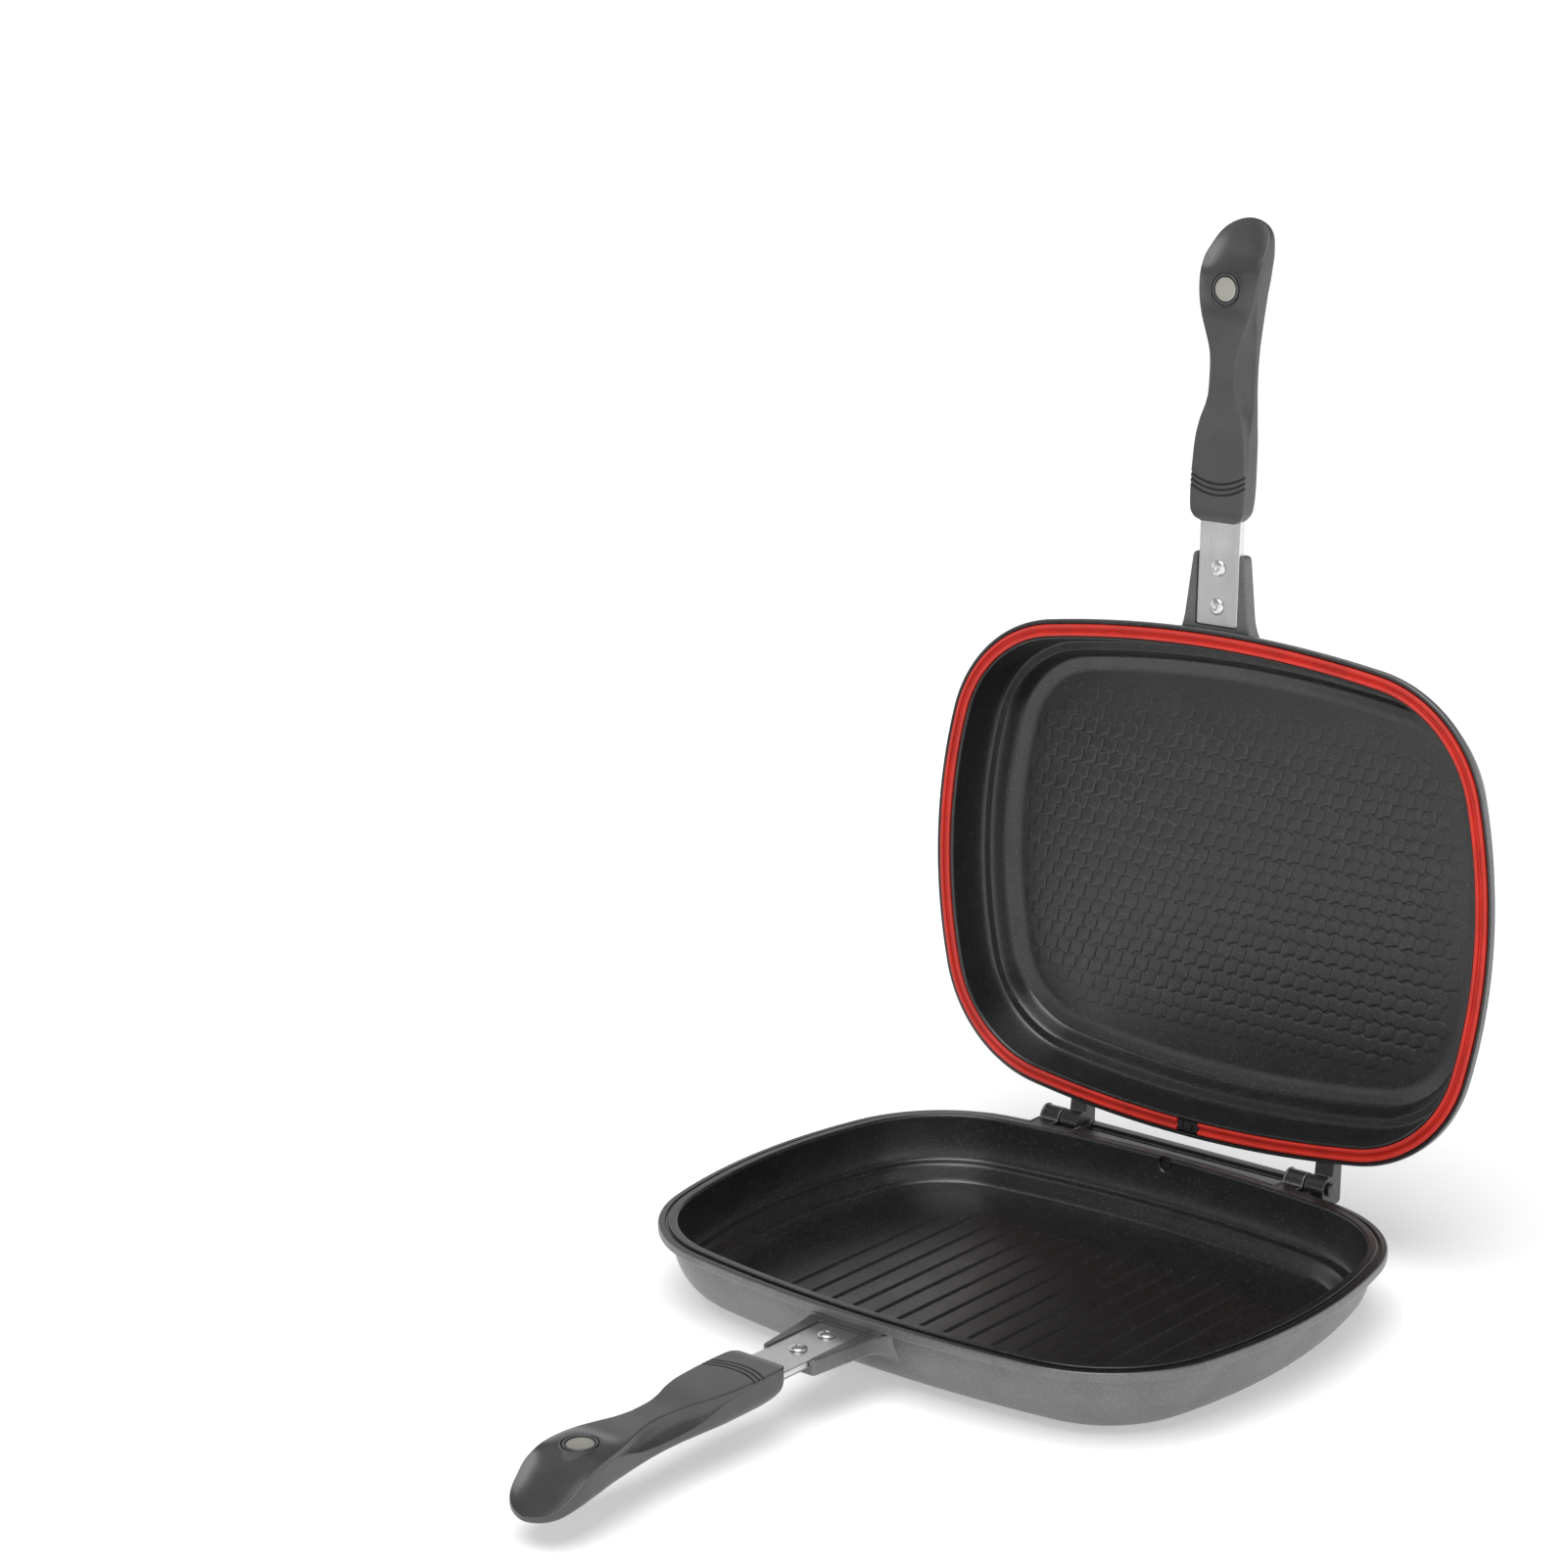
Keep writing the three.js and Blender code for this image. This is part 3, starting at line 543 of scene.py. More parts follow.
def rounded(corners: Sequence[tuple[float, ...]], steps: int = 5, closed: bool = False) -> list[Flat]:
    """Rounds the corners of a flat line.

    Args:
        corners: Points with an optional third number, the radius of that corner.
        steps: Number of pieces in a rounded corner.
        closed: Whether the last corner joins the first.

    Returns:
        The points of the rounded line.
    """
    line: list[Flat] = []
    count = len(corners)
    for i, corner in enumerate(corners):
        radius = corner[2] if len(corner) > 2 else 0.0
        middle = Vector(corner[:2])
        if not radius or (not closed and i in (0, count - 1)):
            line.append(tuple(middle))
            continue
        before = (Vector(corners[i - 1][:2]) - middle).normalized()
        after = (Vector(corners[(i + 1) % count][:2]) - middle).normalized()
        angle = before.angle(after)
        if angle > math.pi - 0.02:
            line.append(tuple(middle))
            continue
        cut = radius / math.tan(angle / 2)
        centre = middle + (before + after).normalized() * radius / math.sin(angle / 2)
        first, last = middle + before * cut - centre, middle + after * cut - centre
        sweep = first.angle_signed(last)
        for k in range(steps + 1):
            turned = Matrix.Rotation(-sweep * k / steps, 2) @ first
            line.append(tuple(centre + turned))
    return line


class Track:
    """A smooth curve through a table of values, without overshoot."""

    def __init__(self, places: Sequence[float], values: Sequence[float]) -> None:
        """Works out the slopes.

        Args:
            places: Rising places.
            values: The value at each place.
        """
        self.places, self.values = list(places), list(values)
        rise = [(b - a) / (d - c) for a, b, c, d in zip(values, values[1:], places, places[1:])]
        inner = [0.0 if a * b <= 0 else 2 * a * b / (a + b) for a, b in zip(rise, rise[1:])]
        self.slopes = [rise[0], *inner, rise[-1]]

    def at(self, place: float) -> float:
        """Returns the value at a place."""
        last = len(self.places) - 2
        k = max(0, min(last, sum(1 for p in self.places if p <= place) - 1))
        span = self.places[k + 1] - self.places[k]
        t = (place - self.places[k]) / span
        return ((1 + 2 * t) * (1 - t) ** 2 * self.values[k] + t * (1 - t) ** 2 * span * self.slopes[k]
                + t * t * (3 - 2 * t) * self.values[k + 1] - t * t * (1 - t) * span * self.slopes[k + 1])


class Bench:
    """Work on finished objects: making, removing, cutting and joining them."""

    @staticmethod
    def show(name: str, data: bpy.types.ID) -> Item:
        """Makes an object of its data in the scene and returns it."""
        item = bpy.data.objects.new(name, data)
        bpy.context.scene.collection.objects.link(item)
        return item

    @staticmethod
    def scrap(item: Item) -> None:
        """Removes an object and its mesh."""
        data = item.data
        bpy.data.objects.remove(item)
        bpy.data.meshes.remove(data)

    @staticmethod
    def settle(item: Item) -> None:
        """Applies an object's modifiers to its mesh."""
        shown = item.evaluated_get(bpy.context.evaluated_depsgraph_get())
        old, item_data = item.data, bpy.data.meshes.new_from_object(shown)
        item.modifiers.clear()
        item.data = item_data
        item_data.name = item.name
        bpy.data.meshes.remove(old)

    @staticmethod
    def combine(item: Item, tool: Item, operation: str = "DIFFERENCE") -> None:
        """Cuts an object with another, or joins them, and removes the other.

        Args:
            item: The object that stays.
            tool: The object that is used up.
            operation: DIFFERENCE or UNION.
        """
        change = item.modifiers.new("combine", "BOOLEAN")
        change.operation, change.object, change.solver = operation, tool, "EXACT"
        Bench.settle(item)
        Bench.scrap(tool)

    @staticmethod
    def join(first: Item, *others: Item) -> Item:
        """Puts other objects' meshes into the first.

        Args:
            first: The object that stays.
            others: Objects with the same material list, which are used up.

        Returns:
            The first object.
        """
        whole = bmesh.new()
        whole.from_mesh(first.data)
        for other in others:
            whole.from_mesh(other.data)
            Bench.scrap(other)
        whole.to_mesh(first.data)
        whole.free()
        return first


class Draft:
    """One mesh in the making, in half-frame millimetres."""

    def __init__(self) -> None:
        """Starts an empty mesh."""
        self.mesh = bmesh.new()

    def loft(self, rings: Iterable[Iterable[Point]], slots: Sequence[int] | int = 0,
             loop: bool = False) -> "Draft":
        """Adds a closed skin over rings of points.

        Args:
            rings: Rings with as many points each.
            slots: One material number, or one for each strip.
            loop: Whether the last ring joins the first; if not, the ends are capped.

        Returns:
            This draft.
        """
        made = [[self.mesh.verts.new(point) for point in points] for points in rings]
        spans = len(made) if loop else len(made) - 1
        strips = [slots] * spans if isinstance(slots, int) else slots
        for first, second, slot in zip(made, made[1:] + made[:1], strips):
            for j in range(len(first)):
                k = (j + 1) % len(first)
                self.mesh.faces.new((first[j], first[k], second[k], second[j])).material_index = slot
        if not loop:
            self.mesh.faces.new(made[0]).material_index = strips[0]
            self.mesh.faces.new(made[-1]).material_index = strips[-1]
        return self

    def prism(self, outline: Sequence[Flat], low: float, high: float, slot: int = 0) -> "Draft":
        """Adds an upright prism; returns this draft."""
        return self.loft([[(x, y, z) for x, y in outline] for z in (low, high)], slot)

    def block(self, xs: Flat, ys: Flat, zs: Flat) -> "Draft":
        """Adds a box between two places along each axis; returns this draft."""
        return self.prism([(xs[0], ys[0]), (xs[1], ys[0]), (xs[1], ys[1]), (xs[0], ys[1])], *zs)

    def crosswise(self, profile: Sequence[Flat], left: float, right: float, slot: int = 0) -> "Draft":
        """Adds a (y, z) profile carried along X; returns this draft."""
        return self.loft([[(x, y, z) for y, z in profile] for x in (left, right)], slot)

    def turned(self, profile: Sequence[Flat], y: float = 0.0, count: int = 48,
               slots: Sequence[int] | int = 0, x: float = 0.0, loop: bool = False) -> "Draft":
        """Adds a turned form round an upright axis.

        Args:
            profile: (radius, z) points; open profiles get flat ends.
            y: Y of the axis.
            count: Number of sides.
            slots: Material numbers of the strips.
            x: X of the axis.
            loop: Whether the profile closes on itself, as for a ring.

        Returns:
            This draft.
        """
        turns = [2 * math.pi * i / count for i in range(count)]
        return self.loft([[(x + radius * math.cos(turn), y + radius * math.sin(turn), z) for turn in turns]
                          for radius, z in profile], slots, loop)

    def bevel(self, width: float, segments: int = 3, angle: float = 35.0) -> "Draft":
        """Rounds the sharp edges.

        Args:
            width: Width of the rounding.
            segments: Faces across it.
            angle: Edges that turn by more than this many degrees are rounded.

        Returns:
            This draft.
        """
        self.mesh.normal_update()
        sharp = [edge for edge in self.mesh.edges
                 if len(edge.link_faces) == 2 and edge.calc_face_angle(0.0) > math.radians(angle)]
        bmesh.ops.bevel(self.mesh, geom=sharp, offset=width, segments=segments, profile=0.5,
                        affect="EDGES", clamp_overlap=True)
        return self

    def sink(self, inset: float, limit: float) -> "Draft":
        """Bends the inner end of a hinge part to the rear arc, so that it ends inside the wall.

        Args:
            inset: Distance of the end from the pan's outline.
            limit: Points with a smaller Y than this are moved.

        Returns:
            This draft.
        """
        for vertex in self.mesh.verts:
            if vertex.co.y < limit:
                vertex.co.y = OUTLINE.rear_y(vertex.co.x, inset)
        return self

    def turn(self, matrix: Matrix) -> "Draft":
        """Moves everything drawn so far by a matrix; returns this draft."""
        bmesh.ops.transform(self.mesh, matrix=matrix, verts=self.mesh.verts)
        return self

    def absorb(self, *others: "Draft") -> "Draft":
        """Takes over the meshes of other drafts; returns this draft."""
        for other in others:
            data = bpy.data.meshes.new("part")
            other.mesh.to_mesh(data)
            other.mesh.free()
            self.mesh.from_mesh(data)
            bpy.data.meshes.remove(data)
        return self

    def object(self, name: str, materials: Sequence[Material]) -> Item:
        """Makes an object of the mesh, still in millimetres.

        Args:
            name: Name of the object.
            materials: Its material list.

        Returns:
            The new object.
        """
        bmesh.ops.recalc_face_normals(self.mesh, faces=self.mesh.faces)
        data = bpy.data.meshes.new(name)
        self.mesh.to_mesh(data)
        self.mesh.free()
        for material in materials:
            data.materials.append(material)
        return Bench.show(name, data)


class SubAssembly:
    """Base of the sub-assemblies: makes pieces of one half and hands them to the frame."""

    def __init__(self, finishes: Finishes, half: Half) -> None:
        """Keeps the finishes and the half.

        Args:
            finishes: The pan's materials.
            half: The half that carries the pieces.
        """
        self.finishes, self.half = finishes, half

    def name(self, piece: str) -> str:
        """Returns a piece's name with the half's prefix."""
        return f"{self.half.value}_{piece}"

    def hand_over(self, item: Item, slot: str, node: str, crease: float = 32.0) -> None:
        """Takes a piece to its place in the model, smooths its shading and gives it to its body.

        Args:
            item: The piece, drawn in half-frame millimetres.
            slot: Name of a material slot for the piece; not used.
            node: CAD node that it stands for.
            crease: Edges that turn by more than this many degrees stay sharp.
        """
        item.data.transform(self.half.placement())
        item.data.shade_smooth()
        item.data.set_sharp_from_angle(angle=math.radians(crease))
        item.modifiers.new("even_faces", "WEIGHTED_NORMAL").keep_sharp = True
        Bench.settle(item)
        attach(item, self.half.body)
        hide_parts(node)
        LOG.info("%s: %d faces on %s", item.name, len(item.data.polygons), self.half.body)


@dataclass(frozen=True)
class ShellForm:
    """Section that both bowls share: insets from the pan's outline, and depths below the parting plane."""

    flange_height: float = 5.4
    flange_ledge: float = 6.6
    flange_outer_round: float = 1.5
    flange_inner_round: float = 1.1
    wall_start: float = 6.6
    wall_steps: int = 16
    base_inset: float = 35.5
    base_level: float = 38.1
    mouth_round: float = 1.3
    bowl_start: float = 1.4
    bowl_steps: int = 12
    floor_level: float = 34.2
    step_depth: float = 23.5
    upper_flare: float = 4.2
    step_ledge: float = 3.2
    step_slope: float = 5.4
    lower_flare: float = 12.0
    flare_lag: float = 1.8
    steep_share: float = 0.76
    step_points: int = 24
    pace: float = 1.4


@dataclass(frozen=True)
class LugForm:
    """Handle lug: reaches from the pan's middle, half widths, and depths below the parting plane."""

    start: float = 119.5
    end: float = 166.0
    tip: float = 2.0
    tip_steps: int = 5
    tip_shrink: float = 1.8
    tip_low_share: float = 0.7
    tip_high_share: float = 0.5
    root_steps: int = 26
    root_pace: float = 1.4
    root_half: float = 20.5
    tip_half: float = 14.8
    bottom: float = 14.75
    top: float = 7.0
    low_round: float = 1.4
    top_round: float = 0.9
    flare_length: float = 17.0
    flare_width: float = 6.0
    flare_drop: float = 8.0
    flare_round: float = 3.0
    riser: Flat = (120.5, 128.2)
    riser_sunk: float = 0.8
    slot_half: float = 12.3
    slot_floor: float = 10.85
    slot_start: float = 129.9
    slot_round: float = 1.2
    slot_clearance: float = 4.0
    overrun: float = 9.0
    rivets: Flat = (139.6, 158.6)
    seat: tuple[Flat, ...] = ((5.4, 1.1), (5.9, 0.8), (6.1, -6.0))


@dataclass(frozen=True)
class RingForm:
    """Bare rings and rayed disc on a base; side rings are centred off the middle."""

    core: float = 0.4
    disc: float = 77.6
    gap: float = 1.6
    inner: float = 3.5
    outer: float = 5.0
    band: float = 4.2
    band_half: float = 40.0
    band_steps: int = 20
    band_overlap: float = 1.5
    side: float = 84.0
    side_width: float = 7.0
    side_offset: float = 53.0
    well_overlap: float = 0.5
    well_margin: float = 3.0
    sunk: float = 0.6
    edge: float = 0.25
    count: int = 144


LUG = LugForm()


class Casting(SubAssembly):
    """A half pan in one casting: shell, lug, machined base rings and hinge parts."""

    PAINTED_RIM_POINTS = 4
    HINGE_SPREAD = 74.3
    PAIR_HALF = 12.0
    KNUCKLE = 5.8
    KNUCKLE_STEPS = 24
    KNUCKLE_GAP_HALF = 0.5
    HINGE_EDGE = (0.6, 3)
    HINGE_ROOT = 113.5
    ROOT_INSET = 8.4
    ROOT_LIMIT = 115.0
    form = ShellForm()
    mouth: float
    rim: list[tuple[float, ...]]

    def section(self) -> tuple[list[Flat], list[Coat]]:
        """Draws the section from the middle of the base round the rim to the floor.

        Returns:
            The (inset, height) points and the coat of each strip between them.
        """
        form, mouth, top = self.form, self.mouth, self.rim[-1][1]
        wall = quarter_ellipse((form.flange_ledge, -form.wall_start),
                               (form.base_inset - form.flange_ledge, form.base_level - form.wall_start),
                               form.wall_steps)[::-1]
        outside = rounded([*wall[:-1], (form.flange_ledge, -form.flange_height, form.flange_inner_round),
                           (0.0, -form.flange_height, form.flange_outer_round), self.rim[0]])[:-1]
        rim = rounded([(0.0, -form.flange_height), *self.rim, (mouth, top, form.mouth_round),
                       (mouth, -form.step_depth)])[1:-1]
        upper = quarter_ellipse((mouth, top - form.bowl_start),
                                (form.upper_flare, form.step_depth + top - form.bowl_start), form.bowl_steps)
        step, start = [], mouth + form.upper_flare + form.step_ledge
        for k in range(1, form.step_points + 1):
            run = (form.step_slope + form.lower_flare) * (k / form.step_points) ** form.pace
            fall = (form.steep_share * self.ease(run / form.step_slope)
                    + (1 - form.steep_share) * self.ease((run - form.flare_lag) / form.lower_flare))
            step.append((start + run, -form.step_depth - (form.floor_level - form.step_depth) * fall))
        points = outside + rim + upper + step
        painted = len(outside) + self.PAINTED_RIM_POINTS
        return points, [Coat.PAINT] * painted + [Coat.NON_STICK] * (len(points) - 1 - painted)

    @staticmethod
    def ease(share: float) -> float:
        """Returns a smooth rise from 0 to 1 while share goes from 0 to 1."""
        share = max(0.0, min(1.0, share))
        return share * share * (3.0 - 2.0 * share)

    def draw(self, draft: Draft, name: str = "part") -> Item:
        """Returns a draft's object in the casting's coats."""
        return draft.object(name, self.finishes.casting)

    def shell(self) -> Item:
        """Makes the bowl with its flange; returns the object in millimetres."""
        points, coats = self.section()
        rings = [OUTLINE.ring(inset, height) for inset, height in points]
        return self.draw(Draft().loft(rings, coats), self.name("pan_casting"))

    def lug_ring(self, y: float) -> list[Point]:
        """Returns the lug's section at a reach: widened at the root, shrunk at the tip."""
        share = (y - LUG.start) / (LUG.end - LUG.start)
        flare = 1 - math.sqrt(1 - max(0.0, 1 - (y - LUG.start) / LUG.flare_length) ** 2)
        past = max(0.0, y - LUG.end + LUG.tip) / LUG.tip
        shrink = LUG.tip_shrink * (1 - math.sqrt(1 - min(1.0, past) ** 2))
        half = LUG.root_half + (LUG.tip_half - LUG.root_half) * share + LUG.flare_width * flare - shrink
        low = -LUG.bottom - LUG.flare_drop * flare + shrink * LUG.tip_low_share
        high = -LUG.top - shrink * LUG.tip_high_share
        soft = LUG.low_round + LUG.flare_round * flare
        corners = [(-half, low, soft), (half, low, soft), (half, high, LUG.top_round),
                   (-half, high, LUG.top_round)]
        return [(x, -y, z) for x, z in rounded(corners, 5, True)]

    def lug(self) -> Item:
        """Makes the handle lug, flared into the wall; returns the object in millimetres."""
        neck = LUG.end - LUG.tip
        reaches = [LUG.start + (neck - LUG.start) * (i / LUG.root_steps) ** LUG.root_pace
                   for i in range(LUG.root_steps + 1)]
        reaches += [neck + LUG.tip * math.sin(math.pi / 2 * i / LUG.tip_steps)
                    for i in range(1, LUG.tip_steps + 1)]
        lug = self.draw(Draft().loft([self.lug_ring(y) for y in reaches]))
        wide, far = LUG.slot_half, LUG.end + LUG.overrun
        slot = rounded([(-wide, -LUG.slot_start, LUG.slot_round), (-wide, -far), (wide, -far),
                        (wide, -LUG.slot_start, LUG.slot_round)], 4, True)
        cuts = [Draft().prism(slot, -LUG.slot_floor, LUG.slot_clearance)]
        cuts += [Draft().turned([(radius, z - LUG.bottom) for radius, z in LUG.seat], -y) for y in LUG.rivets]
        riser = Draft().block((-LUG.root_half, LUG.root_half), (-LUG.riser[1], -LUG.riser[0]),
                              (-LUG.top - LUG.riser_sunk, -self.form.flange_height + LUG.riser_sunk))
        Bench.combine(lug, self.draw(Draft().absorb(*cuts)))
        Bench.combine(lug, self.draw(riser), "UNION")
        return lug

    def base_rings(self) -> Item:
        """Makes the rings and the disc that stand proud of the base; returns the object in millimetres."""
        form = RingForm()
        face, root, edge = -HALF_HEIGHT, -self.form.base_level + form.sunk, form.edge

        def annulus(inner: float, width: float, x: float = 0.0) -> Draft:
            """Draws a flat ring with broken edges; returns its draft."""
            outer = inner + width
            profile = [(inner, root), (inner, face + edge), (inner + edge, face), (outer - edge, face),
                       (outer, face + edge), (outer, root)]
            return Draft().turned(profile, 0.0, form.count, Coat.BARE_RING, x, True)

        inner_start = form.disc + form.gap
        outer_start = inner_start + form.inner + form.gap
        disc = Draft().turned([(form.core, face), (form.disc - edge, face), (form.disc, face + edge),
                               (form.disc, root)], 0.0, form.count, Coat.RAYED_DISC)
        middle = self.draw(Draft().absorb(disc, annulus(inner_start, form.inner)))
        outer = self.draw(annulus(outer_start, form.outer))
        reach = outer_start + form.outer + form.band
        inside = (outer_start + form.band_overlap) / reach
        well_radius = outer_start + form.well_overlap
        for side in (1, -1):
            turns = [math.asin(form.band_half / reach) * k / form.band_steps
                     for k in range(-form.band_steps, form.band_steps + 1)]
            arc = [(reach * math.sin(turn), side * reach * math.cos(turn)) for turn in turns]
            band = Draft().prism(arc + [(x * inside, y * inside) for x, y in arc[::-1]], face, root,
                                 Coat.BARE_RING)
            loop = self.draw(annulus(form.side - form.side_width, form.side_width, side * form.side_offset))
            well = Draft().turned([(well_radius, face - form.well_margin),
                                   (well_radius, root + form.well_margin)], count=form.count)
            Bench.combine(outer, self.draw(band), "UNION")
            Bench.combine(loop, self.draw(well))
            Bench.combine(outer, loop, "UNION")
        return Bench.join(middle, outer)

    def knuckle(self, z: float, start: float, end: float) -> list[Flat]:
        """Draws the round end of an ear or arm, at the hinge line's height.

        Args:
            z: Height of the hinge line.
            start: Angle at which it starts, in degrees.
            end: Angle at which it ends.

        Returns:
            Its (y, z) points.
        """
        turns = [math.radians(start + (end - start) * k / self.KNUCKLE_STEPS)
                 for k in range(self.KNUCKLE_STEPS + 1)]
        return [(HINGE_Y + self.KNUCKLE * math.cos(turn), z + self.KNUCKLE * math.sin(turn))
                for turn in turns]

    def hinge_part(self, profile: Sequence[Flat], middle: float, side: int, edge: float,
                   segments: int) -> Draft:
        """Draws an ear, arm or pad on one side of a hinge pair.

        Args:
            profile: Its (y, z) points.
            middle: X of the pair's middle.
            side: -1 for the left half of the pair, 1 for the right half.
            edge: Rounding of its edges.
            segments: Faces across the rounding.

        Returns:
            The draft, with its root bent into the wall.
        """
        ends = sorted((middle + side * (self.PAIR_HALF - self.KNUCKLE_GAP_HALF),
                       middle + side * self.KNUCKLE_GAP_HALF))
        return Draft().crosswise(profile, *ends, Coat.NON_STICK).bevel(edge, segments).sink(
            self.ROOT_INSET, self.ROOT_LIMIT)

    def cuts(self) -> list[Draft]:
        """Returns what is cut from the shell."""
        return []

    def additions(self) -> list[Draft]:
        """Returns what is added to the shell, such as hinge parts."""
        raise NotImplementedError

    def build(self) -> None:
        """Builds the casting and hands it over."""
        shell = self.shell()
        cuts = self.cuts()
        if cuts:
            Bench.combine(shell, self.draw(Draft().absorb(*cuts)))
        additions = self.draw(Draft().absorb(*self.additions()))
        Bench.join(shell, self.lug(), self.base_rings(), additions)
        self.hand_over(shell, "casting", self.name("pan"))


class LowerPan(Casting):
    """The half that stands on the table: grill grooves, steam vent, ears, stop pads and the rear rail."""

    GROOVES_EACH_SIDE, GROOVE_PITCH = 7, 13.2
    FIELD_HALF_LENGTH, FIELD_CORNER, FIELD_STRAIGHT_HALF = 72.0, 34.0, 65.0
    GROOVE_STEPS = ((1.75, 2.0, 1.0), (1.75, 0.02, 1.0), (1.2, -0.16, 1.6), (0.95, -0.5, 3.0),
                    (0.62, -0.85, 5.0), (0.2, -1.0, 7.5))
    VENT_MOUTH = ((4.1, 0.0), (4.1, 1.6), (5.2, 3.0), (5.4, 9.0))
    VENT_SLOT = ((2.3, -4.2), (2.3, 0.8))
    VENT_SLOT_DROP = 1.2
    VENT_PLACE = (0.0, 121.4, -3.2)
    EAR_BOTTOM, EAR_TOP = -6.9, -0.6
    EAR_ARC = (175.0, -90.0)
    PAD = ((Casting.HINGE_ROOT, -13.4), (Casting.HINGE_ROOT, -7.4), (138.0, -7.4, 0.8), (138.0, -11.0, 1.6),
           (134.5, -13.4, 2.0))
    PAD_EDGE = (0.5, 2)
    RAIL_ENDS = (-61.3, 62.9)
    RAIL_EDGE = (0.45, 2)
    STOP_SUNK, STOP_DROP, STOP_OVERLAP = 0.6, 0.1, 1.0
    RAIL_START, RAIL_END, RAIL_TOP, RAIL_BOTTOM = 122.4, 143.6, -0.8, -5.4
    CHANNEL_START, CHANNEL_END, CHANNEL_FLOOR, CHANNEL_STOP = 131.2, 139.4, -3.6, 2.2
    RAIL_INSET, RAIL_LIMIT = 2.6, 123.5

    mouth = 9.5
    rim = [(0.0, -0.6, 0.9), (3.4, -0.6, 0.5), (3.4, -1.7, 0.3), (5.0, -1.7, 0.3), (5.0, 0.0, 0.5)]

    def groove(self, x: float) -> Draft:
        """Returns the cutter of the grill groove at an X; it ends where the round-cornered field does."""
        past = max(0.0, abs(x) - self.FIELD_STRAIGHT_HALF)
        reach = self.FIELD_HALF_LENGTH - self.FIELD_CORNER + math.sqrt(self.FIELD_CORNER ** 2 - past ** 2)
        turns = [math.pi * k / 8 for k in range(9)]
        rings = []
        for half, rise, short in self.GROOVE_STEPS:
            rings.append([(x + side * half * math.cos(turn), side * (reach - short + half * math.sin(turn)),
                           rise - self.form.floor_level) for side in (1, -1) for turn in turns])
        return Draft().loft(rings, Coat.NON_STICK)

    def cuts(self) -> list[Draft]:
        """Returns the grill grooves and the steam vent at the rear."""
        made = [self.groove(i * self.GROOVE_PITCH)
                for i in range(-self.GROOVES_EACH_SIDE, self.GROOVES_EACH_SIDE + 1)]
        vent = Draft().turned(self.VENT_MOUTH, count=40, slots=Coat.NON_STICK)
        vent.absorb(Draft().turned(self.VENT_SLOT, -self.VENT_SLOT_DROP, 24, Coat.NON_STICK))
        vent.turn(Matrix.Translation(self.VENT_PLACE) @ Matrix.Rotation(math.pi / 2, 4, "X"))
        return made + [vent]

    def additions(self) -> list[Draft]:
        """Returns the ears, the stop pads and the rear rail."""
        made = []
        ear = [(self.HINGE_ROOT, self.EAR_BOTTOM), (self.HINGE_ROOT, self.EAR_TOP),
               *self.knuckle(-HINGE_DROP, *self.EAR_ARC)]
        for middle in (-self.HINGE_SPREAD, self.HINGE_SPREAD):
            made.append(self.hinge_part(ear, middle, -1, *self.HINGE_EDGE))
            made.append(self.hinge_part(rounded(self.PAD, 4, True), middle, 1, *self.PAD_EDGE))
        return made + [self.rail()]

    def rail(self) -> Draft:
        """Returns the channelled rail between the ears, with a stop at each end of its channel."""
        left, right = self.RAIL_ENDS
        bottom, top, floor = self.RAIL_BOTTOM, self.RAIL_TOP, self.CHANNEL_FLOOR
        inner, outer = self.CHANNEL_START, self.CHANNEL_END
        profile = [(self.RAIL_START, bottom), (self.RAIL_START, top), (inner, top), (inner, floor),
                   (outer, floor), (outer, top), (self.RAIL_END, top), (self.RAIL_END, bottom)]
        rail = Draft().crosswise(profile, left, right, Coat.NON_STICK).bevel(*self.RAIL_EDGE)
        low, high = floor - self.STOP_SUNK, top - self.STOP_DROP
        near, far = inner - self.STOP_OVERLAP, outer + self.STOP_OVERLAP
        stop = [(near, low), (near, high), (far, high), (far, low)]
        for ends in ((left, left + self.CHANNEL_STOP), (right - self.CHANNEL_STOP, right)):
            rail.absorb(Draft().crosswise(stop, *ends, Coat.NON_STICK))
        return rail.sink(self.RAIL_INSET, self.RAIL_LIMIT)


